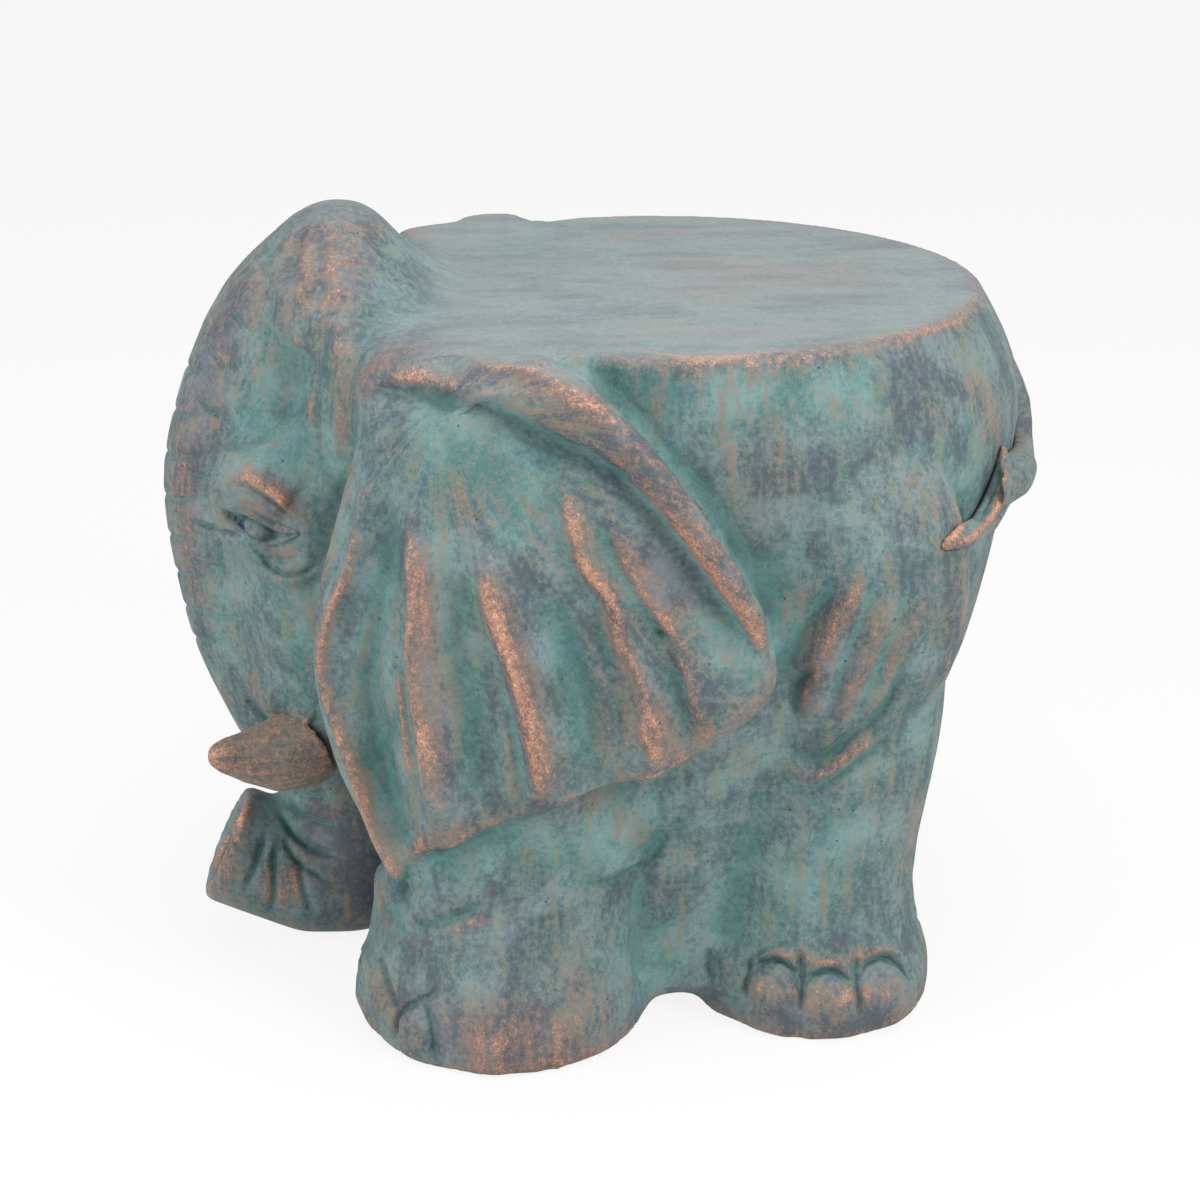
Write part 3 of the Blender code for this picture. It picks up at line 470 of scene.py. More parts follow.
# Tail's tuft: its course, half widths in millimetres and flatness, and the picture column where it takes over.
# Tusks: how much wider their roots get, and over which share of the length.
TUFT_COURSE = [(1001, 446), (996, 468), (988, 492), (976, 516), (960, 536), (940, 548)]
TUFT_RADII = (2.0, 7.0, 10.0, 9.5, 6.0, 1.0)
TUFT_FLATNESS = 0.6
TUFT_COLUMN = 1003
TUSK_FLARE = 0.50
TUSK_FLARE_SPAN = (0.1, 0.9)

# Grooves and ridges of the tail's tuft and the tusks
TAIL_STROKES = [
    Stroke([(999, 462), (992, 488), (980, 514), (963, 535)], (1.8, 1.8), -2.4),
    Stroke([(993, 460), (984, 486), (972, 512), (957, 532), (942, 546)], (2.0, 2.0), 1.6),
    Stroke([(1005, 472), (1001, 496), (990, 519), (970, 537), (950, 546)], (2.0, 2.0), 1.6),
]
TUSK_STROKES = [
    Stroke([(300, 740), (270, 752), (235, 757)], (2.0, 2.0), -0.5),
    Stroke([(290, 762), (262, 768), (235, 768)], (2.0, 2.0), -0.4),
    Stroke([(285, 728), (265, 738), (240, 744)], (2.2, 2.2), 0.5),
]

# Where each colour was laid on most, with its strength as the stroke's height
BRUSHED_AND_SHADED = {
    "copper": [
        # Dome, brow and face
        Stroke([(318, 285), (330, 305), (342, 322)], (12, 12), 0.45),
        Stroke([(285, 235), (310, 262), (318, 290)], (6, 6), 0.6),
        Stroke([(265, 260), (258, 300), (250, 330)], (6, 6), 0.5),
        Stroke([(340, 330), (345, 390), (342, 455)], (8, 8), 0.6),
        Stroke([(300, 225), (320, 250), (338, 280)], (9, 9), 0.5),
        Stroke([(290, 240), (305, 280), (315, 325)], (14, 14), 0.35),
        Stroke([(350, 405), (370, 366), (410, 345), (470, 342)], (10, 9), 0.5),
        Stroke([(222, 488), (243, 480), (266, 492), (300, 518)], (5, 5), 0.9),
        Stroke([(258, 549), (280, 555), (300, 552)], (4, 4), 0.5),
        Stroke([(228, 499), (245, 503), (262, 512), (282, 525)], (3, 3), 0.75),
        Stroke([(196, 390), (182, 470), (188, 560), (204, 640)], (9, 9), 0.5),
        Stroke([(232, 330), (222, 390), (225, 440)], (8, 8), 0.4),
        Stroke([(248, 680), (262, 690)], (9, 9), 0.6),
        # Ear: front edge, roll, pleats and lower edge
        Stroke([(358, 512), (349, 568), (330, 612), (322, 660), (335, 715), (360, 790), (392, 865)],
               (5, 5), 0.55, (0.2, 0.0)),
        Stroke([(385, 372), (420, 374), (470, 378)], (6, 6), 0.5),
        Stroke([(470, 356), (520, 368), (580, 395), (620, 430)], (12, 9), 0.5),
        Stroke([(648, 491), (688, 542), (728, 598), (764, 646), (772, 678)], (5, 5), 0.7),
        Stroke([(412, 515), (419, 600), (418, 680), (428, 745), (436, 820)], (7, 8), 0.65),
        Stroke([(400, 665), (404, 720), (412, 790)], (4, 4), 0.6),
        Stroke([(440, 480), (470, 500), (490, 540)], (12, 12), 0.35),
        Stroke([(530, 480), (560, 540), (590, 600)], (14, 12), 0.35),
        Stroke([(484, 560), (496, 620), (514, 670), (528, 722), (538, 800)], (6, 8), 0.75),
        Stroke([(560, 470), (572, 530), (606, 600), (620, 650), (637, 700), (650, 770)], (9, 11), 0.6),
        Stroke([(610, 520), (640, 580), (670, 640), (690, 700)], (9, 9), 0.5),
        Stroke([(400, 876), (440, 838), (500, 821), (560, 810), (640, 782), (720, 743)],
               (6, 6), 0.5, (0.1, 0.1)),
        Stroke([(610, 700), (640, 725), (690, 715)], (16, 16), 0.6),
        Stroke([(640, 765), (680, 750), (725, 728)], (10, 10), 0.6),
        # Seat's edge and flank
        Stroke([(585, 327), (630, 346), (664, 354), (707, 358), (750, 354), (794, 345)],
               (2.2, 2.2), 0.9, (0.2, 0.2)),
        Stroke([(794, 345), (850, 339), (902, 333), (945, 325), (984, 309)], (2.4, 2.0), 0.55, (0.1, 0.2)),
        Stroke([(745, 400), (750, 480), (735, 560)], (16, 16), 0.3),
        Stroke([(640, 262), (760, 270), (900, 290)], (30, 30), 0.6),
        Stroke([(600, 318), (720, 332), (850, 326)], (14, 14), 0.6),
        Stroke([(960, 350), (985, 400), (1000, 440)], (10, 10), 0.4),
        # Thigh and knee
        Stroke([(863, 560), (848, 609), (830, 647), (807, 685), (808, 716)], (4, 4), 0.42),
        Stroke([(874, 590), (858, 635), (838, 680)], (3, 3), 0.35),
        Stroke([(908, 600), (894, 645), (872, 690)], (3, 3), 0.35),
        Stroke([(890, 590), (881, 634), (871, 667), (855, 695), (842, 721)], (4, 5), 0.45),
        Stroke([(820, 765), (850, 752), (875, 735)], (5, 5), 0.28),
        # Legs and feet
        Stroke([(452, 935), (475, 924), (492, 910)], (5, 6), 0.3),
        Stroke([(560, 930), (575, 980), (600, 1020)], (10, 10), 0.35),
        Stroke([(470, 1010), (530, 1035), (590, 1035)], (17, 14), 0.32),
        Stroke([(372, 960), (380, 1000), (410, 1040)], (9, 9), 0.5),
        Stroke([(760, 985), (790, 995), (830, 1000), (886, 990)], (9, 8), 0.62, (0.0, 0.0)),
        Stroke([(764, 953), (800, 955), (828, 962), (882, 950), (905, 955)], (4, 4), 0.6),
        Stroke([(920, 790), (912, 840), (905, 880)], (8, 8), 0.4),
        Stroke([(625, 805), (640, 825), (645, 845)], (7, 7), 0.35),
        # Trunk
        Stroke([(262, 905), (285, 885), (296, 865)], (10, 10), 0.6),
        Stroke([(249, 795), (237, 828), (220, 858), (211, 878)], (4, 5), 0.65),
    ],
    "teal": [
        Stroke([(400, 430), (450, 440), (510, 480), (560, 540)], (22, 20), 0.9),
        Stroke([(292, 350), (284, 390), (268, 430), (320, 470)], (16, 14), 0.9),
        Stroke([(392, 520), (380, 600), (368, 680), (380, 770), (395, 840)], (6, 8), 0.8),
        Stroke([(450, 570), (458, 650), (470, 740)], (8, 8), 0.7),
        Stroke([(550, 600), (575, 680), (592, 770)], (8, 8), 0.7),
        Stroke([(700, 610), (735, 660), (755, 695)], (7, 7), 0.5),
        Stroke([(620, 370), (690, 400), (790, 400), (900, 380)], (17, 15), 0.6),
        Stroke([(745, 560), (765, 610), (790, 660)], (12, 14), 0.6),
        Stroke([(600, 330), (680, 480), (760, 600)], (6, 8), 0.6),
        Stroke([(960, 400), (975, 450), (960, 520)], (12, 12), 0.5),
        Stroke([(420, 880), (500, 850), (600, 850), (700, 830)], (14, 12), 0.6),
        Stroke([(640, 900), (650, 960), (690, 970)], (12, 16), 0.6),
        Stroke([(850, 800), (830, 870), (800, 920)], (18, 18), 0.55),
        Stroke([(265, 560), (300, 620), (290, 680)], (12, 12), 0.6),
        Stroke([(335, 440), (340, 500), (325, 560)], (7, 7), 0.8),
    ],
    "slate": [
        Stroke([(250, 260), (215, 340), (190, 440), (185, 540)], (14, 12), 0.7),
        Stroke([(300, 215), (325, 255), (345, 305)], (20, 15), 0.6),
        Stroke([(358, 385), (395, 352), (450, 338)], (12, 9), 0.6),
        Stroke([(430, 352), (520, 370), (600, 420), (690, 525), (745, 605)], (7, 8), 0.8),
        Stroke([(640, 540), (665, 580), (690, 620)], (12, 12), 0.8),
        Stroke([(500, 590), (512, 640), (522, 700)], (6, 8), 0.5),
        Stroke([(430, 560), (432, 640), (440, 720), (450, 800)], (4, 6), 0.5),
        Stroke([(660, 690), (690, 730)], (12, 12), 0.5),
        Stroke([(330, 800), (335, 850), (330, 900)], (14, 14), 0.9),
        Stroke([(850, 590), (820, 650), (800, 720)], (9, 10), 0.8),
        Stroke([(872, 640), (850, 690), (830, 725)], (5, 5), 0.8),
        Stroke([(420, 1000), (480, 1040), (560, 1040)], (16, 14), 0.6),
        Stroke([(260, 470), (280, 495), (300, 510)], (7, 7), 0.8),
        Stroke([(760, 1010), (830, 1025), (890, 1015)], (9, 9), 0.5),
    ],
}

# Painted shade in the creases, the hollows and under the ear's roll, laid like a dark wash
BRUSHED_AND_SHADED["shadow"] = [
    Stroke([(300, 345), (287, 385), (272, 425)], (14, 11), 0.30),
    Stroke([(400, 880), (388, 908), (378, 932)], (8, 7), 0.55, (0.1, 0.3)),
    Stroke([(228, 514), (243, 516), (258, 522), (277, 532), (292, 535)], (1.4, 1.0), 1.0, (0.1, 0.2)),
    Stroke([(226, 513), (232, 517), (240, 524)], (3.0, 3.0), 1.0, (0.0, 0.0)),
    Stroke([(243, 526), (253, 537), (268, 541), (281, 536)], (1.0, 1.0), 0.9),
    Stroke([(361, 460), (345, 482), (335, 512), (328, 545), (316, 580)], (5, 5), 0.75),
    Stroke([(376, 393), (430, 390), (487, 410), (541, 441), (608, 475), (661, 529), (715, 604), (755, 668)],
           (5, 2.5), 0.55),
]
# Every groove also gets painted shade along it, fuller for deeper grooves
for fold in FOLDS + FINE_FOLDS:
    if fold.height < 0:
        dark_widths = [width * SHADOW_WIDTH for width in fold.widths]
        depth = min(1.0, fold.height / DARKEST_FOLD)
        BRUSHED_AND_SHADED["shadow"].append(Stroke(fold.course, dark_widths, depth, fold.ends, fold.view))


def view_ray(point, side, view):
    """Eye point and direction through a point of a view, mirrored for the stool's right side."""
    if view == "photo":
        return photo_ray(point, side)
    end = {"front": -1, "rear": 1}[view]
    across, height = point[0] * MILLIMETRE, point[1] * MILLIMETRE
    return Vector((end * OUTSIDE, side * across, height)), Vector((-end, 0, 0))


def photo_ray(pixel, side):
    """Eye point and direction through a pixel of the photograph, mirrored for the stool's right side."""
    across = math.sin(CAMERA_AZIMUTH)
    toward = -math.cos(CAMERA_AZIMUTH)
    level = math.cos(CAMERA_ELEVATION)
    back = Vector((across * level, toward * level, math.sin(CAMERA_ELEVATION)))
    eye = Vector(CAMERA_TARGET) + back * CAMERA_DISTANCE
    right = Vector((-toward, across, 0.0))
    up = back.cross(right)
    ahead = right * (pixel[0] - PHOTO_SIZE / 2) - up * (pixel[1] - PHOTO_SIZE / 2) - back * FOCAL_LENGTH_PX
    mirror = Vector((1.0, 1.0 if side == LEFT else -1.0, 1.0))
    return eye * mirror, ahead.normalized() * mirror


def curve_through(points, spacing):
    """Points about a spacing apart on a smooth curve through the given points."""
    knots = np.array(points, float)
    line = []
    for span in range(len(knots) - 1):
        before, start = knots[max(span - 1, 0)], knots[span]
        end, after = knots[span + 1], knots[min(span + 2, len(knots) - 1)]
        steps = max(2, math.ceil(np.linalg.norm(end - start) / spacing))
        for t in np.arange(steps) / steps:
            square = 2 * before - 5 * start + 4 * end - after
            cube = 3 * start - before - 3 * end + after
            line.append((2 * start + (end - before) * t + square * t**2 + cube * t**3) / 2)
    return np.array(line + [knots[-1]])


def ease(values, start, end):
    """Rises smoothly from 0 at start to 1 at end."""
    share = np.clip((np.asarray(values, float) - start) / (end - start), 0.0, 1.0)
    return share * share * (3.0 - 2.0 * share)


def mesh_points(mesh):
    values = np.empty(len(mesh.vertices) * 3, np.float32)
    mesh.vertices.foreach_get("co", values)
    return values.reshape(-1, 3).astype(float)


def mesh_normals(mesh):
    values = np.empty(len(mesh.vertices) * 3, np.float32)
    mesh.vertices.foreach_get("normal", values)
    return values.reshape(-1, 3).astype(float)


def move_points(mesh, points):
    mesh.vertices.foreach_set("co", points.astype(np.float32).ravel())
    mesh.update()


def mesh_edges(mesh):
    values = np.empty(len(mesh.edges) * 2, np.int32)
    mesh.edges.foreach_get("vertices", values)
    return values.reshape(-1, 2)


def neighbour_mean(values, edges):
    """Each point's mean over its neighbours along edges."""
    count = len(values)
    first, second = edges[:, 0], edges[:, 1]
    links = np.bincount(first, minlength=count) + np.bincount(second, minlength=count)
    columns = []
    for column in values.reshape(count, -1).T:
        columns.append(np.bincount(first, column[second], count) + np.bincount(second, column[first], count))
    return (np.array(columns) / np.maximum(links, 1)).T.reshape(values.shape)


def relax(values, edges, passes, share=1.0):
    """Pulls values towards their neighbours' mean in passes, as far as their share lets them."""
    for _ in range(passes):
        values = values + (neighbour_mean(values, edges) - values) * PULL * share
    return values


def soften(mesh, passes):
    """Smooths without shrinking: each pass pulls points to their neighbours' mean and then pushes back."""
    points, edges = mesh_points(mesh), mesh_edges(mesh)
    for _ in range(passes):
        for pull in (PULL, PUSH_BACK):
            points += (neighbour_mean(points, edges) - points) * pull
    move_points(mesh, points)


def select_only(piece):
    bpy.ops.object.select_all(action="DESELECT")
    piece.select_set(True)
    bpy.context.view_layer.objects.active = piece


def node_copy(name, node, swell=0.0):
    """A copy of a CAD node's mesh as a new object, with its loose triangles merged."""
    piece = bpy.data.objects.new(name, frame["nodes"][node].data.copy())
    bpy.context.scene.collection.objects.link(piece)
    piece.data.materials.clear()
    select_only(piece)
    bpy.ops.object.mode_set(mode="EDIT")
    bpy.ops.mesh.select_all(action="SELECT")
    bpy.ops.mesh.remove_doubles(threshold=MERGE_GAP)
    bpy.ops.object.mode_set(mode="OBJECT")
    if swell:
        move_points(piece.data, mesh_points(piece.data) + mesh_normals(piece.data) * swell)
    return piece


def belly_plug():
    """Closes the mouth in the belly while the skin is made, so that the inside comes away from it."""
    bpy.ops.object.select_all(action="DESELECT")
    bpy.ops.mesh.primitive_cylinder_add(
        vertices=PLUG_SIDES, radius=1.0, depth=PLUG_DEPTH, location=PLUG_PLACE)
    plug = bpy.context.object
    plug.scale = (*PLUG_RADII, 1.0)
    bpy.ops.object.transform_apply(location=True, rotation=True, scale=True)
    return plug


def remesh(piece, voxel):
    modifier = piece.modifiers.new("skin", "REMESH")
    modifier.mode = "VOXEL"
    modifier.voxel_size = voxel
    modifier.use_smooth_shade = True
    select_only(piece)
    bpy.ops.object.modifier_apply(modifier=modifier.name)


def largest_patch(faces):
    """The largest connected patch of the faces."""
    unseen = set(faces)
    largest = []
    while unseen:
        front = [unseen.pop()]
        patch = list(front)
        while front:
            for edge in front.pop().edges:
                for other in edge.link_faces:
                    if other in unseen:
                        unseen.remove(other)
                        front.append(other)
                        patch.append(other)
        if len(patch) > len(largest):
            largest = patch
    return largest


def keep_largest(piece):
    """Deletes every loose part except the one with the most faces."""
    bm = bmesh.new()
    bm.from_mesh(piece.data)
    kept = set(largest_patch(bm.faces))
    bmesh.ops.delete(bm, geom=[face for face in bm.faces if face not in kept], context="FACES")
    bm.to_mesh(piece.data)
    bm.free()


def remove_nubs(mesh):
    """Merges the small lumps that the skin can get under the soles, and draws in what is left of them."""
    bm = bmesh.new()
    bm.from_mesh(mesh)
    low = [vert for vert in bm.verts if vert.co.z < NUB_HEIGHT]
    bmesh.ops.remove_doubles(bm, verts=low, dist=SKIN_VOXEL * NUB_VOXELS)
    for vert in bm.verts:
        neighbours = [edge.other_vert(vert).co for edge in vert.link_edges]
        if vert.co.z < NUB_HEIGHT and min(place.z for place in neighbours) > vert.co.z:
            vert.co = sum(neighbours, Vector()) / len(neighbours)
    bm.to_mesh(mesh)
    bm.free()


def yoke_forms():
    """Rounded forms that carry the seat forward to the ears on both sides of the head."""
    forms = []
    for x, out, height, radius in YOKE_COURSE:
        for side in (LEFT, RIGHT):
            bpy.ops.object.select_all(action="DESELECT")
            bpy.ops.mesh.primitive_uv_sphere_add(radius=radius, location=(x, side * out, height))
            bpy.ops.object.transform_apply(location=True, rotation=True, scale=True)
            forms.append(bpy.context.object)
    return forms


def blended_skin():
    """Body, trunk and ears as one outer skin."""
    body = node_copy("skin", "body_casting")
    others = [node_copy("part_" + node, node, JOINT_OVERLAP) for node in ("trunk", "left_ear", "right_ear")]
    others += yoke_forms() + [belly_plug()]
    select_only(body)
    for other in others:
        other.select_set(True)
    bpy.ops.object.join()
    remesh(body, SKIN_VOXEL)
    keep_largest(body)
    soften(body.data, SKIN_PASSES)
    remove_nubs(body.data)
    return body


def stroke_path(tree, stroke, side):
    """The stroke's course laid on the skin, with its tangents and normals."""
    hits, normals = [], []
    for pixel in curve_through(stroke.course, COURSE_STEP):
        eye, ahead = view_ray(pixel, side, stroke.view)
        hit, normal, _, _ = tree.ray_cast(eye, ahead)
        if hit is not None:
            hits.append(hit)
            normals.append(normal)
    if len(hits) < FEWEST_HITS:
        return None
    hits, normals = np.array(hits), np.array(normals)
    eye = np.array(view_ray(stroke.course[0], side, stroke.view)[0])
    depth = np.linalg.norm(hits - eye, axis=1)
    windows = [depth[max(0, k - COURSE_WINDOW):k + COURSE_WINDOW + 1] for k in range(len(depth))]
    usual = np.array([np.median(window) for window in windows])
    true = abs(depth - usual) < COURSE_JUMP
    hits, normals = hits[true], normals[true]
    for _ in range(COURSE_PASSES):
        hits[1:-1] = (hits[:-2] + 2 * hits[1:-1] + hits[2:]) / 4
        normals[1:-1] = (normals[:-2] + 2 * normals[1:-1] + normals[2:]) / 4
    normals /= np.linalg.norm(normals, axis=1)[:, None]
    tangents = np.gradient(hits, axis=0)
    tangents /= np.maximum(np.linalg.norm(tangents, axis=1), 1e-9)[:, None]
    return hits, tangents, normals


def stroke_lift(points, point_normals, path, stroke, side):
    """The points that a stroke moves, and how strongly, from 0 to 1."""
    hits, tangents, normals = path
    left, right = (width * MILLIMETRE for width in stroke.widths)
    reach = max(left, right) * STROKE_REACH
    low, high = hits.min(axis=0) - reach, hits.max(axis=0) + reach
    near = np.flatnonzero(np.all((points > low) & (points < high), axis=1))
    if not len(near):
        return near, np.zeros(0)
    gaps = points[near][:, None, :] - hits[None, :, :]
    nearest = np.argmin((gaps**2).sum(axis=2), axis=1)
    offset = gaps[np.arange(len(near)), nearest]
    normal, tangent = normals[nearest], tangents[nearest]
    height = (offset * normal).sum(axis=1)
    flat = offset - height[:, None] * normal
    aside = (np.cross(tangent, normal) * flat).sum(axis=1) * (1 if side == LEFT else -1)
    distance = np.linalg.norm(flat, axis=1)
    width = np.where(aside > 0, left, right)
    strength = np.exp(-((distance / width) ** 2))
    share = nearest / max(len(hits) - 1, 1)
    for fade, from_end in zip(stroke.ends, (share, 1 - share)):
        if fade:
            strength *= END_STRENGTH + (1 - END_STRENGTH) * ease(from_end, 0.0, fade)
    strength *= ease((point_normals[near] * normal).sum(axis=1), *STROKE_FACING)
    strength *= 1 - ease(abs(height), reach, reach * STROKE_DEPTH)
    return near, strength


def refine(mesh, wanted):
    """Splits the faces whose points are all wanted."""
    bm = bmesh.new()
    bm.from_mesh(mesh)
    bm.verts.ensure_lookup_table()
    edges = [edge for edge in bm.edges if wanted[edge.verts[0].index] and wanted[edge.verts[1].index]]
    bmesh.ops.subdivide_edges(bm, edges=edges, cuts=1, use_grid_fill=True)
    bm.to_mesh(mesh)
    bm.free()


def near_paths(mesh, paths, reach):
    """Which points lie within reach of a path."""
    points = mesh_points(mesh)
    wanted = np.zeros(len(points), bool)
    for hits, _, _ in paths:
        low, high = hits.min(axis=0) - reach, hits.max(axis=0) + reach
        near = np.flatnonzero(np.all((points > low) & (points < high), axis=1))
        gaps = points[near][:, None, :] - hits[None, ::3, :]
        close = ((gaps**2).sum(axis=2) < reach**2).any(axis=1)
        wanted[near[close]] = True
    return wanted


def skin_tree(mesh):
    bm = bmesh.new()
    bm.from_mesh(mesh)
    tree = BVHTree.FromBMesh(bm)
    bm.free()
    return tree


def laid_strokes(mesh, strokes, tree, sides):
    """Each stroke that meets the skin, with the points that it reaches and how strongly."""
    points, normals = mesh_points(mesh), mesh_normals(mesh)
    for stroke in strokes:
        for side in sides:
            path = stroke_path(tree, stroke, side)
            if path:
                yield (stroke, *stroke_lift(points, normals, path, stroke, side))


def sculpt(mesh, strokes, tree, sides=(LEFT, RIGHT)):
    """Adds up the strokes, moves the skin by them and tells how far each point moved."""
    lift = np.zeros(len(mesh.vertices))
    for stroke, near, strength in laid_strokes(mesh, strokes, tree, sides):
        lift[near] += strength * stroke.height * MILLIMETRE
    move_points(mesh, mesh_points(mesh) + mesh_normals(mesh) * lift[:, None])
    return lift


def set_attribute(mesh, name, values):
    kind = "FLOAT" if values.ndim == 1 else "FLOAT_VECTOR"
    field = "value" if values.ndim == 1 else "vector"
    attribute = mesh.attributes.get(name) or mesh.attributes.new(name, kind, "POINT")
    attribute.data.foreach_set(field, values.astype(np.float32).ravel())


def get_attribute(mesh, name):
    values = np.empty(len(mesh.vertices), np.float32)
    mesh.attributes[name].data.foreach_get("value", values)
    return values.astype(float)


def mark_relief(mesh):
    """Keeps how far each point stands above or below the skin round it, at a fine and at a broad scale."""
    points, normals, edges = mesh_points(mesh), mesh_normals(mesh), mesh_edges(mesh)
    level = points
    for name, passes in RELIEF_PASSES.items():
        level = relax(level, edges, passes)
        relief = ((points - level) * normals).sum(axis=1) / MILLIMETRE
        set_attribute(mesh, name, relax(relief, edges, RELIEF_SMOOTHING))


def own_nodes(mesh, nodes):
    """For each point, which of the CAD nodes is nearest, as a number in the list."""
    points = mesh_points(mesh)
    gaps = []
    for node in nodes:
        copy = node_copy("nearest_" + node, node)
        tree = skin_tree(copy.data)
        gaps.append([tree.find_nearest(point)[3] for point in points])
        bpy.data.objects.remove(copy, do_unlink=True)
    return np.argmin(np.array(gaps), axis=0)


def smooth_locally(mesh, middle, reach, passes):
    """Smooths strongly round a spot on both sides, where forms should flow into each other."""
    points, edges = mesh_points(mesh), mesh_edges(mesh)
    mirrored = points * np.array([1.0, -1.0, 1.0])
    spot = np.array(middle)
    gap = np.minimum(np.linalg.norm(points - spot, axis=1), np.linalg.norm(mirrored - spot, axis=1))
    share = (1 - ease(gap, reach * 0.5, reach))[:, None]
    move_points(mesh, relax(points, edges, passes, share))


def level_seat(mesh):
    """Brings the top back to one level, which smoothing leaves a little uneven."""
    points, normals = mesh_points(mesh), mesh_normals(mesh)
    near = 1 - ease(abs(points[:, 2] - SEAT_HEIGHT), *SEAT_BAND)
    share = near * ease(points[:, 0], *BEHIND_HEAD) * ease(normals[:, 2], *SEAT_FACING)
    points[:, 2] += (SEAT_HEIGHT - points[:, 2]) * share
    move_points(mesh, points)


def spread(radii, count):
    """Radii for a number of points, spread evenly along them."""
    return np.interp(np.linspace(0, len(radii) - 1, count), range(len(radii)), radii)


def tapered_roll(name, hits, radii):
    """A closed round roll along a path, with radii in millimetres that are spread evenly along it."""
    curve = bpy.data.curves.new(name, "CURVE")
    curve.dimensions = "3D"
    curve.bevel_depth = MILLIMETRE
    curve.bevel_resolution = ROLL_RESOLUTION
    curve.use_fill_caps = True
    spline = curve.splines.new("POLY")
    spline.points.add(len(hits) - 1)
    for point, hit, radius in zip(spline.points, hits, spread(radii, len(hits))):
        point.co = (*hit, 1.0)
        point.radius = radius
    roll = bpy.data.objects.new(name, curve)
    bpy.context.scene.collection.objects.link(roll)
    select_only(roll)
    bpy.ops.object.convert(target="MESH")
    bpy.ops.object.mode_set(mode="EDIT")
    bpy.ops.mesh.select_all(action="SELECT")
    bpy.ops.mesh.remove_doubles(threshold=ROLL_MERGE_GAP)
    bpy.ops.mesh.normals_make_consistent(inside=False)
    bpy.ops.object.mode_set(mode="OBJECT")
    return bpy.context.object


def flare_root(piece):
    """Widens a tusk towards its root, which the CAD model keeps slim."""
    points = mesh_points(piece.data)
    middle = points.mean(axis=0)
    axis = np.linalg.svd(points - middle, full_matrices=False)[2][0]
    axis *= np.sign(axis[0])
    along = (points - middle) @ axis
    share = (along - along.min()) / np.ptp(along)
    wider = TUSK_FLARE * ease(share, *TUSK_FLARE_SPAN)
    aside = points - middle - along[:, None] * axis
    move_points(piece.data, points + aside * wider[:, None])


def tuft_form(tree):
    """The tail's tuft: a flattened leaf that lies on the haunch."""
    hits, _, normals = stroke_path(tree, Stroke(TUFT_COURSE, (1, 1), 0), LEFT)
    tuft = tapered_roll("tuft", hits, TUFT_RADII)
    points = mesh_points(tuft.data)
    widths = spread(TUFT_RADII, len(hits))
    nearest = np.argmin(((points[:, None, :] - hits[None, :, :]) ** 2).sum(axis=2), axis=1)
    offset, normal = points - hits[nearest], normals[nearest]
    height = (offset * normal).sum(axis=1)
    lift = TUFT_FLATNESS * (height + widths[nearest] * MILLIMETRE) - height
    move_points(tuft.data, points + normal * lift[:, None])
    return tuft


def tail_casting(tree):
    """The tail's tube from the CAD model up to the tuft, joined with the tuft."""
    piece = node_copy("stool_tail", "tail")
    eye, ahead = photo_ray((TUFT_COLUMN, PHOTO_SIZE / 2), LEFT)
    below = photo_ray((TUFT_COLUMN, PHOTO_SIZE), LEFT)[1]
    bm = bmesh.new()
    bm.from_mesh(piece.data)
    everything = bm.verts[:] + bm.edges[:] + bm.faces[:]
    bmesh.ops.bisect_plane(bm, geom=everything, plane_co=eye, plane_no=below.cross(ahead), clear_inner=True)
    bmesh.ops.holes_fill(bm, edges=[edge for edge in bm.edges if edge.is_boundary])
    bm.to_mesh(piece.data)
    bm.free()
    tuft = tuft_form(tree)
    select_only(piece)
    tuft.select_set(True)
    bpy.ops.object.join()
    return piece


def combine(piece, other, operation):
    """Adds another closed form to a piece or cuts it out, and takes it away."""
    modifier = piece.modifiers.new("combine", "BOOLEAN")
    modifier.operation = operation
    modifier.object = other
    modifier.solver = "MANIFOLD"
    select_only(piece)
    bpy.ops.object.modifier_apply(modifier=modifier.name)
    bpy.data.objects.remove(other, do_unlink=True)


def add_eyes(skin):
    """Sets a ball in each eye socket, and closes the lids round it."""
    for side in (LEFT, RIGHT):
        spot, normal, _, _ = skin_tree(skin.data).ray_cast(*photo_ray(EYE_SPOT, side))
        bpy.ops.object.select_all(action="DESELECT")
        place = spot + normal * (EYE_STAND - EYE_RADIUS)
        bpy.ops.mesh.primitive_uv_sphere_add(
            segments=EYE_SEGMENTS, ring_count=EYE_RINGS, radius=EYE_RADIUS, location=place)
        bpy.ops.object.transform_apply(location=True, rotation=True, scale=True)
        combine(skin, bpy.context.object, "UNION")
        tree = skin_tree(skin.data)
        for course, radii in LIDS:
            hits, _, _ = stroke_path(tree, Stroke(course, (1, 1), 0), side)
            combine(skin, tapered_roll("lid", hits, radii), "UNION")


def level_rim(mesh):
    """Brings down what the rolled ears raised above the seat, outside the dome of the head."""
    points = mesh_points(mesh)
    clear = np.maximum(ease(abs(points[:, 1]), *BESIDE_DOME), ease(points[:, 0], *BEHIND_DOME))
    points[:, 2] -= np.maximum(points[:, 2] - SEAT_HEIGHT, 0.0) * clear
    move_points(mesh, points)


def stand_flat(mesh):
    """Keeps the soles level on the floor."""
    points = mesh_points(mesh)
    points[:, 2] = np.maximum(points[:, 2], SOLE_HEIGHT)
    move_points(mesh, points)


def ear_share(mesh):
    """How far each point belongs to an ear."""
    return get_attribute(mesh, "own_left_ear") + get_attribute(mesh, "own_right_ear")


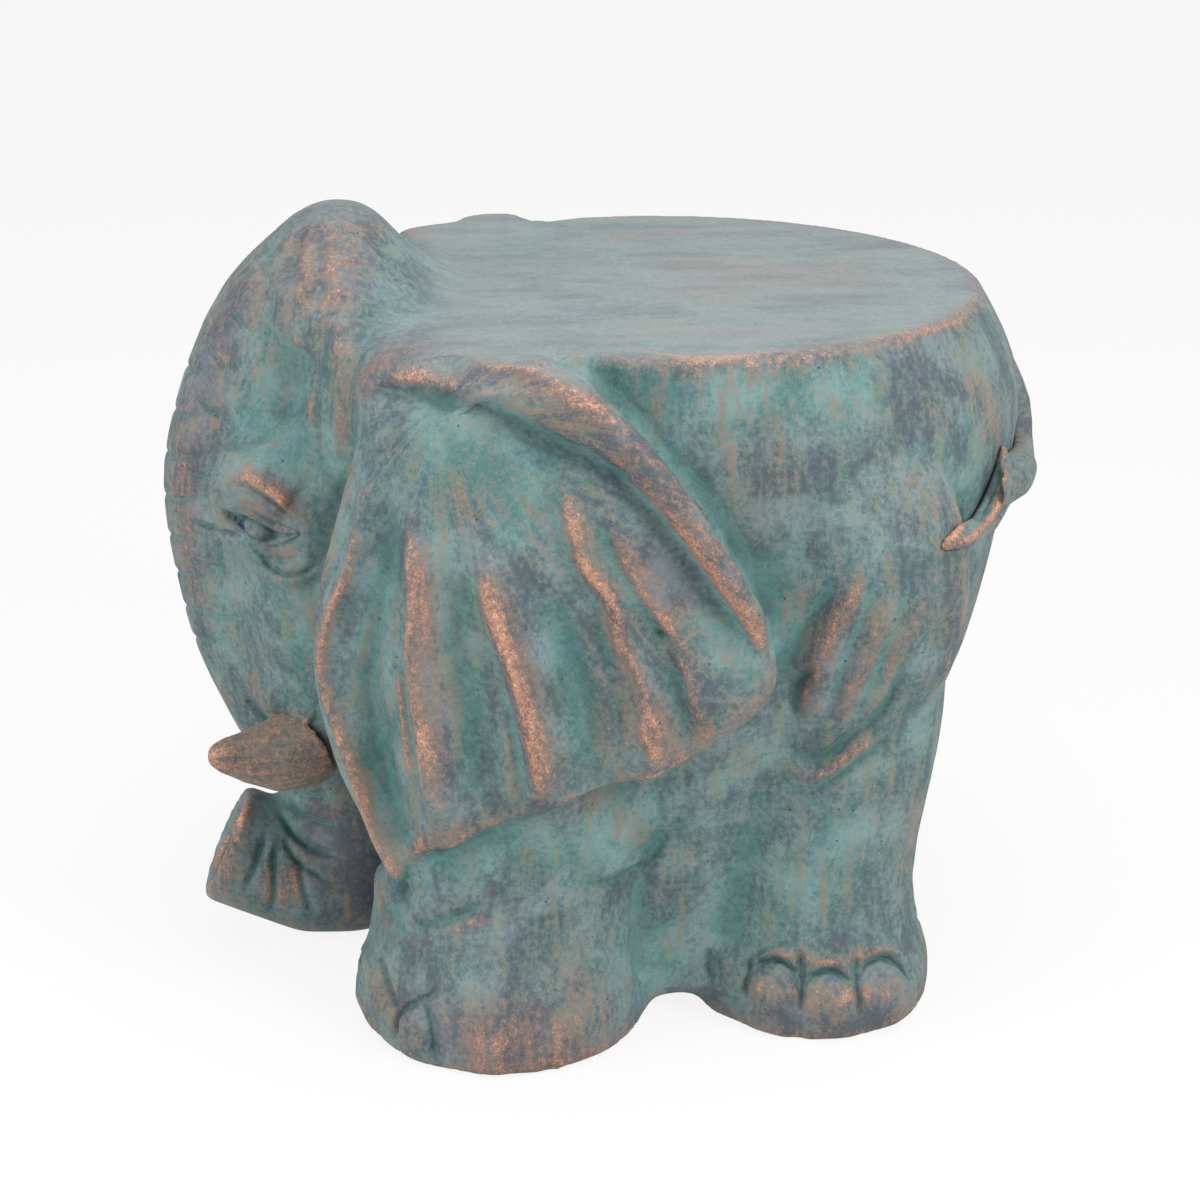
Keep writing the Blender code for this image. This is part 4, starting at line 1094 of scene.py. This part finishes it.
def flatten_ears(mesh):
    """Takes the CAD model's even pleats out of the ears' outer faces, before strokes put the real ones in."""
    points, normals, edges = mesh_points(mesh), mesh_normals(mesh), mesh_edges(mesh)
    outward = normals[:, 1] * np.sign(points[:, 1])
    share = ear_share(mesh) * ease(outward, *EAR_FACE)
    for _ in range(EAR_FACE_INSET):
        share = np.minimum(share, neighbour_mean(share, edges))
    points[:, 1] = relax(points[:, 1], edges, EAR_FACE_PASSES, share)
    move_points(mesh, points)


def smooth_ear_fronts(mesh):
    """Evens the ears' front edges, where strokes from the side end."""
    points, normals, edges = mesh_points(mesh), mesh_normals(mesh), mesh_edges(mesh)
    outward = normals[:, 1] * np.sign(points[:, 1])
    share = np.clip(ear_share(mesh), 0.0, 1.0) * ease(-normals[:, 0], *EAR_FRONT)
    share *= 1 - ease(outward, *EAR_FRONT_TURN)
    for _ in range(EAR_FRONT_SPREAD):
        share = np.maximum(share, neighbour_mean(share, edges))
    move_points(mesh, relax(points, edges, EAR_FRONT_PASSES, share[:, None]))


def sculpted_skin():
    """The blended skin with all its strokes."""
    skin = blended_skin()
    mesh = skin.data
    smooth_locally(mesh, YOKE_MIDDLE, YOKE_REACH, YOKE_PASSES)
    smooth_locally(mesh, DOME_FOOT, DOME_FOOT_REACH, DOME_FOOT_PASSES)
    smooth_locally(mesh, TRUNK_BEND, TRUNK_BEND_REACH, TRUNK_BEND_PASSES)
    level_seat(mesh)
    owners = own_nodes(mesh, SKIN_NODES)
    for number, node in enumerate(SKIN_NODES):
        set_attribute(mesh, "own_" + node, (owners == number).astype(float))
    flatten_ears(mesh)
    tree = skin_tree(mesh)
    for strokes, reach in ((FORMS + FOLDS + FINE_FOLDS, REFINE_REACH), (FINE_FOLDS, FINE_REFINE_REACH)):
        paths = [stroke_path(tree, stroke, side) for stroke in strokes for side in (LEFT, RIGHT)]
        refine(mesh, near_paths(mesh, [path for path in paths if path], reach))
    soften(mesh, REFINED_PASSES)
    sculpt(mesh, FORMS, tree)
    smooth_ear_fronts(mesh)
    level_rim(mesh)
    sculpt(mesh, FOLDS + FINE_FOLDS, skin_tree(mesh))
    level_rim(mesh)
    soften(mesh, SCULPTED_PASSES)
    stand_flat(mesh)
    add_eyes(skin)
    return skin


def paint(mesh, tree):
    """Keeps how much of each colour was brushed and rubbed where, and where shade is painted."""
    for colour, strokes in BRUSHED_AND_SHADED.items():
        amount = np.zeros(len(mesh.vertices))
        for stroke, near, strength in laid_strokes(mesh, strokes, tree, (LEFT, RIGHT)):
            amount[near] = np.maximum(amount[near], strength * stroke.height)
        set_attribute(mesh, colour, amount)


def brush_courses(mesh):
    """Coordinates that brush marks follow: along the ears' pleats, across the seat, and downwards elsewhere.

    It also keeps how much painted sheen the seat gets.
    """
    points, normals = mesh_points(mesh), mesh_normals(mesh)
    marks = points * np.array([1.0, 1.0, BRUSH_STRETCH])
    seat = (normals[:, 2] > SEAT_LEVEL) & (points[:, 2] > SEAT_HEIGHT - TOP_DEPTH)
    marks[seat] = points[seat] * np.array([SEAT_STRETCH, 1.0, 1.0])
    is_ear = ear_share(mesh) > 0.5
    across, up = points[is_ear, 0] - EAR_HUB[0], points[is_ear, 2] - EAR_HUB[1]
    span = np.hypot(across, up)
    turn = np.arctan2(up, across)
    marks[is_ear] = np.stack([turn * EAR_MEAN_SPAN, points[is_ear, 1], span * BRUSH_STRETCH], axis=1)
    set_attribute(mesh, "brush", marks)
    start, full = (SEAT_HEIGHT - depth for depth in SHEEN_DEPTH)
    sheen = ease(normals[:, 2], *SHEEN_FACING) * ease(points[:, 2], start, full)
    sheen *= SHEEN_LEAST + (1 - SHEEN_LEAST) * ease(points[:, 0], *SHEEN_FRONT)
    set_attribute(mesh, "seat", relax(sheen, mesh_edges(mesh), SHEEN_PASSES))


def owned_faces(mesh):
    """The numbers of the faces that each node keeps of the skin."""
    bm = bmesh.new()
    bm.from_mesh(mesh)
    shares = np.stack([get_attribute(mesh, "own_" + node) for node in SKIN_NODES], axis=1)
    owner = np.array([np.argmax(sum(shares[v.index] for v in face.verts)) for face in bm.faces])
    kept = {}
    left_over = np.ones(len(owner), bool)
    for number, node in enumerate(SKIN_NODES[1:], 1):
        patch = largest_patch(face for face in bm.faces if owner[face.index] == number)
        kept[node] = {face.index for face in patch}
        left_over[list(kept[node])] = False
    patch = largest_patch(face for face in bm.faces if left_over[face.index])
    kept[SKIN_NODES[0]] = {face.index for face in patch}
    bm.free()
    return kept


def closed_part(name, mesh, patch, inward):
    """A piece from a patch of the skin, closed by a wall along its rim and a cap behind it."""
    part = bmesh.new()
    part.from_mesh(mesh)
    bmesh.ops.delete(part, geom=[face for face in part.faces if face.index not in patch], context="FACES")
    rim = [edge for edge in part.edges if edge.is_boundary]
    for edge in rim:
        edge.smooth = False
    wall = bmesh.ops.extrude_edge_only(part, edges=rim)["geom"]
    for element in wall:
        if isinstance(element, bmesh.types.BMVert):
            element.co += inward(element.co) * JOINT_WALL
    bmesh.ops.holes_fill(part, edges=[edge for edge in part.edges if edge.is_boundary])
    bmesh.ops.triangulate(part, faces=part.faces)
    piece = bpy.data.objects.new(name, bpy.data.meshes.new(name))
    part.to_mesh(piece.data)
    part.free()
    bpy.context.scene.collection.objects.link(piece)
    return piece


def part_skin(skin):
    """Parts the sculpted skin into the body, the trunk and the ears, and closes each where it was joined."""
    mesh = skin.data
    points, normals = mesh_points(mesh), mesh_normals(mesh)
    nearest = KDTree(len(points))
    for number, point in enumerate(points):
        nearest.insert(point, number)
    nearest.balance()

    def inward(place):
        return -Vector(normals[nearest.find(place)[1]])

    pieces = {}
    for node, patch in owned_faces(mesh).items():
        pieces[node] = closed_part(PIECE_NAMES[node], mesh, patch, inward)
    bpy.data.objects.remove(skin, do_unlink=True)
    return pieces


def lighten(piece):
    """Merges faces where the skin is flattest, apart from the top, down to what a viewer handles well."""
    faces = len(piece.data.polygons)
    if faces > MOST_FACES:
        heights = mesh_points(piece.data)[:, 2]
        top = piece.vertex_groups.new(name="top")
        top.add(np.flatnonzero(heights > SEAT_HEIGHT - TOP_DEPTH).tolist(), 1.0, "REPLACE")
        modifier = piece.modifiers.new("lighten", "DECIMATE")
        modifier.ratio = MOST_FACES / faces
        modifier.vertex_group = top.name
        modifier.invert_vertex_group = True
        select_only(piece)
        bpy.ops.object.modifier_apply(modifier=modifier.name)
        piece.vertex_groups.clear()


def hollow_cutter():
    """The inside of the body casting as a solid, lengthened below the mouth in the belly."""
    cutter = node_copy("hollow_cutter", "body_casting")
    bpy.ops.object.mode_set(mode="EDIT")
    bpy.ops.mesh.select_mode(type="EDGE")
    bpy.ops.mesh.select_all(action="DESELECT")
    bpy.ops.mesh.edges_select_sharp(sharpness=HOLLOW_EDGE)
    bpy.ops.mesh.mark_sharp()
    bpy.ops.mesh.select_all(action="DESELECT")
    bpy.ops.mesh.select_mode(type="FACE")
    bpy.ops.object.mode_set(mode="OBJECT")
    _, _, roof, _ = skin_tree(cutter.data).ray_cast(Vector(HOLLOW_MIDDLE), Vector((0, 0, 1)))
    cutter.data.polygons[roof].select = True
    bpy.ops.object.mode_set(mode="EDIT")
    bpy.ops.mesh.select_linked(delimit={"SHARP"})
    bpy.ops.mesh.select_all(action="INVERT")
    bpy.ops.mesh.delete(type="FACE")
    bpy.ops.mesh.select_mode(type="EDGE")
    bpy.ops.mesh.select_non_manifold()
    bpy.ops.mesh.extrude_region_move(TRANSFORM_OT_translate={"value": (0, 0, -HOLLOW_DROP)})
    bpy.ops.mesh.edge_face_add()
    bpy.ops.mesh.select_all(action="SELECT")
    bpy.ops.mesh.normals_make_consistent(inside=False)
    bpy.ops.mesh.quads_convert_to_tris()
    bpy.ops.object.mode_set(mode="OBJECT")
    set_attribute(cutter.data, "brush", mesh_points(cutter.data) * np.array([1.0, 1.0, BRUSH_STRETCH]))
    return cutter


def finish_small(piece, strokes, side, copper):
    """Gives a tusk or the tail a finer skin of its own, its strokes and its paint."""
    remesh(piece, FINE_VOXEL)
    keep_largest(piece)
    mesh = piece.data
    soften(mesh, SMALL_PASSES)
    set_attribute(mesh, "brush", mesh_points(mesh) * np.array([BRUSH_STRETCH, 1.0, 1.0]))
    lift = sculpt(mesh, strokes, skin_tree(mesh), (side,))
    mark_relief(mesh)
    set_attribute(mesh, "copper", copper + np.clip(lift / MILLIMETRE, *RIDGE_RANGE) * RIDGE_COPPER)
    for colour in ("teal", "slate", "seat", "shadow"):
        set_attribute(mesh, colour, np.zeros(len(lift)))


def linear(red, green, blue):
    """A colour as seen on a screen, from 0 to 255, in the renderer's values."""
    parts = []
    for value in (red / 255, green / 255, blue / 255):
        parts.append(value / 12.92 if value <= 0.04045 else ((value + 0.055) / 1.055) ** 2.4)
    return (*parts, 1.0)


class Nodes:
    """Short words for building a node tree."""

    def __init__(self, tree):
        self.tree = tree

    def add(self, kind, inputs=None, **settings):
        node = self.tree.nodes.new(kind)
        for name, value in settings.items():
            setattr(node, name, value)
        for name, value in (inputs or {}).items():
            self.feed(node.inputs[name], value)
        return node

    def feed(self, socket, value):
        if isinstance(value, bpy.types.NodeSocket):
            self.tree.links.new(value, socket)
        else:
            socket.default_value = value

    def noise(self, vector, size, detail=3.0, roughness=0.55, distortion=0.0):
        """Noise from 0 to 1 with patches about a size across, in metres."""
        inputs = {"Vector": vector, "Scale": 1.0 / size, "Detail": detail, "Roughness": roughness}
        inputs["Distortion"] = distortion
        return self.add("ShaderNodeTexNoise", inputs).outputs["Fac"]

    def math(self, operation, first, second=0.0, third=None, clamp=False):
        node = self.add("ShaderNodeMath", operation=operation, use_clamp=clamp)
        self.feed(node.inputs[0], first)
        self.feed(node.inputs[1], second)
        if third is not None:
            self.feed(node.inputs[2], third)
        return node.outputs[0]

    def weighted(self, *pairs):
        """The sum of values times their weights."""
        total = None
        for value, weight in pairs:
            part = self.math("MULTIPLY", value, weight)
            total = part if total is None else self.math("ADD", total, part)
        return total

    def centred(self, value):
        """Noise from 0 to 1 brought to a mean of 0."""
        return self.math("SUBTRACT", value, 0.5)

    def seen(self):
        """1 where the camera, a reflection or a clear body shows a surface, and 0 where it only lights."""
        rays = self.add("ShaderNodeLightPath").outputs
        mirrored = self.math("MAXIMUM", rays["Is Glossy Ray"], rays["Is Transmission Ray"])
        return self.math("MAXIMUM", rays["Is Camera Ray"], mirrored)

    def band(self, value, low, high, least=0.0, most=1.0):
        """Rises smoothly from least to most while the value goes from low to high."""
        inputs = {"Value": value, "From Min": low, "From Max": high, "To Min": least, "To Max": most}
        return self.add("ShaderNodeMapRange", inputs, interpolation_type="SMOOTHSTEP").outputs["Result"]

    def blend(self, share, first, second, mode="MIX"):
        node = self.add("ShaderNodeMix", data_type="RGBA", blend_type=mode)
        self.feed(node.inputs[0], share)
        self.feed(node.inputs[6], first)
        self.feed(node.inputs[7], second)
        return node.outputs[2]


def patina_group():
    """Verdigris brushed over slate, copper rubbed on what stands proud, and fine sandy grain."""
    group = bpy.data.node_groups.new("verdigris_patina", "ShaderNodeTree")
    for name, kind in PATINA_INPUTS:
        group.interface.new_socket(name, in_out="INPUT", socket_type=kind)
    for name, kind in PATINA_OUTPUTS:
        group.interface.new_socket(name, in_out="OUTPUT", socket_type=kind)
    n = Nodes(group)
    given = n.add("NodeGroupInput").outputs
    place, brush = given["Place"], given["Brush"]

    cloud = n.noise(place, 0.080, 2.0)
    patch = n.noise(place, 0.024, 4.0, 0.6)
    fleck = n.noise(place, 0.0030, 4.0, 0.7)
    grain = n.noise(place, 0.0010, 2.0, 0.6)
    streak = n.noise(brush, 0.0048, 5.0, 0.65)
    wide_streak = n.noise(brush, 0.017, 3.0, 0.55)
    dry = n.centred(n.weighted((fleck, 0.42), (streak, 0.58)))
    # Less dry brush where the seat has its painted sheen
    dry = n.math("MULTIPLY", dry, n.band(given["Seat"], 0.0, 1.0, 1.0, 0.45))

    # Verdigris against slate
    tide = n.weighted(
        (cloud, 0.30), (patch, 0.15), (wide_streak, 0.55), (dry, 1.1),
        (given["Teal"], 0.30), (given["Slate"], -0.30), (given["Broad Relief"], -0.04))
    teal_share = n.band(tide, 0.30, 0.66)
    teal = n.blend(n.band(patch, 0.35, 0.7), linear(*TEAL), linear(*TEAL_PALE))
    slate = n.blend(n.band(patch, 0.4, 0.7), linear(*SLATE), linear(*SLATE_PALE))
    colour = n.blend(teal_share, slate, teal)

    # Brown dragged thinly over both with a dry brush
    thin = n.weighted(
        (dry, 1.0), (given["Copper"], 0.22), (given["Broad Relief"], 0.03),
        (n.centred(wide_streak), 0.30), (n.centred(grain), 0.20))
    thin_share = n.band(thin, -0.03, 0.16, 0.0, 0.62)
    colour = n.blend(thin_share, colour, linear(*BROWN))

    # Copper rubbed on ridges and edges, broken up by the brush
    fine_ridge = n.math("MINIMUM", given["Fine Relief"], 0.5)
    broad_ridge = n.math("MINIMUM", given["Broad Relief"], 1.2)
    rub = n.weighted(
        (fine_ridge, 0.6), (broad_ridge, 0.20), (given["Copper"], 0.70), (dry, 2.6),
        (n.centred(patch), 0.4), (n.centred(grain), 1.5))
    copper_share = n.band(rub, 0.30, 1.10, 0.0, 0.88)
    copper = n.blend(n.band(rub, 0.45, 1.15), linear(*COPPER_DARK), linear(*COPPER))
    colour = n.blend(copper_share, colour, copper)
    # Pale copper on the brightest flecks: a painted glint
    glint = n.weighted((rub, 1.0), (n.centred(fleck), 1.2))
    colour = n.blend(n.band(glint, 1.15, 1.8, 0.0, 0.75), colour, linear(*COPPER_GLINT))

    # Wrinkles: dark at the bottom, bright verdigris on their sides; painted shade in broad hollows and along
    # the shadow strokes
    sink = n.weighted((given["Fine Relief"], -1.0), (n.centred(fleck), 0.25))
    colour = n.blend(n.band(sink, 0.10, 0.35, 0.0, 0.5), colour, linear(*TEAL_BRIGHT))
    colour = n.blend(n.band(sink, 0.38, 0.95, 0.0, 0.85), colour, linear(*CREASE))
    # Broad hollows darkened: painted shade
    colour = n.blend(1.0, colour, n.band(given["Broad Relief"], -2.4, 0.2, 0.68, 1.0), "MULTIPLY")
    # Painted shade from the shadow strokes, broken up by the flecks
    painted_shade = n.math("MULTIPLY", given["Shadow"], n.band(fleck, 0.3, 0.6, 0.95, 0.65))
    colour = n.blend(painted_shade, colour, linear(*CREASE))

    # Seat: paler and greyer, a painted sheen of the light from above
    sheen = n.math("MULTIPLY", given["Seat"], n.band(wide_streak, 0.3, 0.7, 0.5, 0.85))
    colour = n.blend(sheen, colour, linear(*SEAT_SHEEN))

    # Uneven depth of colour, sandy grain and pinholes
    shade = n.weighted((fleck, 0.5), (grain, 0.5))
    colour = n.blend(1.0, colour, n.band(shade, 0.25, 0.75, 0.80, 1.16), "MULTIPLY")
    holes = n.add("ShaderNodeTexVoronoi", {"Vector": place, "Scale": 1.0 / PINHOLE_SPACING}, feature="F1")
    draw = n.add("ShaderNodeSeparateColor", {"Color": holes.outputs["Color"]}).outputs[0]
    chosen = n.math("GREATER_THAN", draw, PINHOLE_RARITY)
    hole = n.math("MULTIPLY", n.band(holes.outputs["Distance"], 0.06, 0.10, 1.0, 0.0), chosen)
    colour = n.blend(n.math("MULTIPLY", hole, 0.8), colour, linear(*CREASE))

    # Relief of the paint, and a little shine on the copper
    height = n.weighted((grain, 0.30), (fleck, 0.55), (streak, 0.40), (hole, -0.8))
    rough = n.weighted((n.band(patch, 0.3, 0.7, 0.62, 0.76), 1.0), (copper_share, -0.16))
    out = n.add("NodeGroupOutput")
    n.feed(out.inputs["Colour"], colour)
    n.feed(out.inputs["Roughness"], rough)
    n.feed(out.inputs["Metal"], n.math("MULTIPLY", copper_share, 0.30))
    n.feed(out.inputs["Height"], height)
    return group


def patina_material(name, group):
    """A finish of the patina, which reads the brushed and rubbed amounts and the painted shade and sheen from
    its piece.
    """
    material = bpy.data.materials.new(name)
    material.use_nodes = True
    n = Nodes(material.node_tree)
    shader = material.node_tree.nodes["Principled BSDF"]
    patina = n.add("ShaderNodeGroup", node_tree=group)
    n.feed(patina.inputs["Place"], n.add("ShaderNodeTexCoord").outputs["Object"])
    for socket, attribute in PATINA_ATTRIBUTES.items():
        given = n.add("ShaderNodeAttribute", attribute_name=attribute)
        n.feed(patina.inputs[socket], given.outputs["Vector" if socket == "Brush" else "Fac"])
    n.feed(shader.inputs["Base Color"], patina.outputs["Colour"])
    n.feed(shader.inputs["Roughness"], patina.outputs["Roughness"])
    n.feed(shader.inputs["Metallic"], patina.outputs["Metal"])
    relief = {"Height": patina.outputs["Height"], "Strength": BUMP_STRENGTH, "Distance": BUMP_DEPTH}
    n.feed(shader.inputs["Normal"], n.add("ShaderNodeBump", relief).outputs["Normal"])
    shader.inputs["Specular IOR Level"].default_value = SPECULAR
    return material


def steel_material():
    """Drawn steel of the pins."""
    material = bpy.data.materials.new("drawn_steel")
    material.use_nodes = True
    n = Nodes(material.node_tree)
    shader = material.node_tree.nodes["Principled BSDF"]
    place = n.add("ShaderNodeTexCoord").outputs["Object"]
    drawn = n.noise(place, 0.0012, 3.0)
    n.feed(shader.inputs["Base Color"], n.blend(drawn, linear(*STEEL), linear(*STEEL_BRIGHT)))
    n.feed(shader.inputs["Roughness"], n.band(drawn, 0.3, 0.7, 0.28, 0.45))
    shader.inputs["Metallic"].default_value = 1.0
    return material


def studio_world(scene):
    """White surroundings that light the stool more softly than they look."""
    world = bpy.data.worlds.new("studio")
    scene.world = world
    world.use_nodes = True
    n = Nodes(world.node_tree)
    background = world.node_tree.nodes["Background"]
    n.feed(background.inputs["Color"], n.blend(n.seen(), (*[AMBIENT] * 3, 1.0), (1.0, 1.0, 1.0, 1.0)))


def studio_lamps(scene):
    """Soft lamps from above and ahead."""
    for name, place, size, energy in LAMPS:
        data = bpy.data.lights.new(name, "AREA")
        data.shape = "DISK"
        data.size = size
        data.energy = energy
        lamp = bpy.data.objects.new(name, data)
        scene.collection.objects.link(lamp)
        lamp.location = place
        lamp.rotation_euler = (Vector(CAMERA_TARGET) - Vector(place)).to_track_quat("-Z", "Y").to_euler()


def studio_floor():
    """A pale floor that keeps the shadow."""
    bpy.ops.object.select_all(action="DESELECT")
    bpy.ops.mesh.primitive_plane_add(size=FLOOR_SIZE)
    floor = bpy.context.object
    floor.name = "floor"
    material = bpy.data.materials.new("pale_floor")
    material.use_nodes = True
    tree = material.node_tree
    n = Nodes(tree)
    shader = tree.nodes["Principled BSDF"]
    shader.inputs["Base Color"].default_value = linear(*FLOOR_COLOUR)
    shader.inputs["Roughness"].default_value = FLOOR_ROUGHNESS
    mixed = n.add("ShaderNodeMixShader")
    n.feed(mixed.inputs[0], n.math("MULTIPLY", n.seen(), FLOOR_GLOW))
    n.feed(mixed.inputs[1], shader.outputs[0])
    n.feed(mixed.inputs[2], n.add("ShaderNodeEmission").outputs[0])
    n.feed(tree.nodes["Material Output"].inputs["Surface"], mixed.outputs[0])
    floor.data.materials.append(material)
    floor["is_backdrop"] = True


def studio_camera(scene):
    """The camera at the photograph's viewing angle."""
    data = bpy.data.cameras.new("camera")
    data.sensor_width = SENSOR_WIDTH_MM
    data.lens = FOCAL_LENGTH_PX / PHOTO_SIZE * SENSOR_WIDTH_MM
    camera = bpy.data.objects.new("camera", data)
    scene.collection.objects.link(camera)
    camera.location = photo_ray((PHOTO_SIZE / 2, PHOTO_SIZE / 2), LEFT)[0]
    camera.rotation_euler = (Vector(CAMERA_TARGET) - camera.location).to_track_quat("-Z", "Y").to_euler()
    scene.camera = camera


def studio():
    """Surroundings, lamps, floor and camera."""
    scene = bpy.context.scene
    scene.view_settings.view_transform = "Standard"
    studio_world(scene)
    studio_lamps(scene)
    studio_floor()
    studio_camera(scene)


def dress(piece, node, material):
    """Gives a finished piece its material and smooth shading, attaches it to the root body and hides the node
    it stands for.
    """
    piece.data.materials.clear()
    piece.data.materials.append(material)
    piece.data.shade_smooth()
    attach(piece, "root")
    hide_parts(node)


skin = sculpted_skin()
mark_relief(skin.data)
paint(skin.data, skin_tree(skin.data))
brush_courses(skin.data)
combine(skin, hollow_cutter(), "DIFFERENCE")
castings = part_skin(skin)

patina = patina_group()
casting_finish = patina_material("patinated_casting", patina)
rubbed_finish = patina_material("copper_rubbed_casting", patina)
for node_name, casting in castings.items():
    lighten(casting)
    dress(casting, node_name, casting_finish)
tail = tail_casting(skin_tree(castings["body_casting"].data))
finish_small(tail, TAIL_STROKES, LEFT, TAIL_COPPER)
dress(tail, "tail", casting_finish)
for node_name, side in (("left_tusk", LEFT), ("right_tusk", RIGHT)):
    tusk = node_copy("stool_" + node_name, node_name)
    remesh(tusk, FINE_VOXEL)
    flare_root(tusk)
    finish_small(tusk, TUSK_STROKES, side, TUSK_COPPER)
    dress(tusk, node_name, rubbed_finish)
steel = steel_material()
for node_name, node in frame["nodes"].items():
    if node_name.endswith(("_pin", "_rod")):
        node.data.materials.clear()
        node.data.materials.append(steel)
studio()

boxes = {"cad": cad_box, "visual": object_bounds()}
{name: [list(corner) for corner in box] for name, box in boxes.items()}
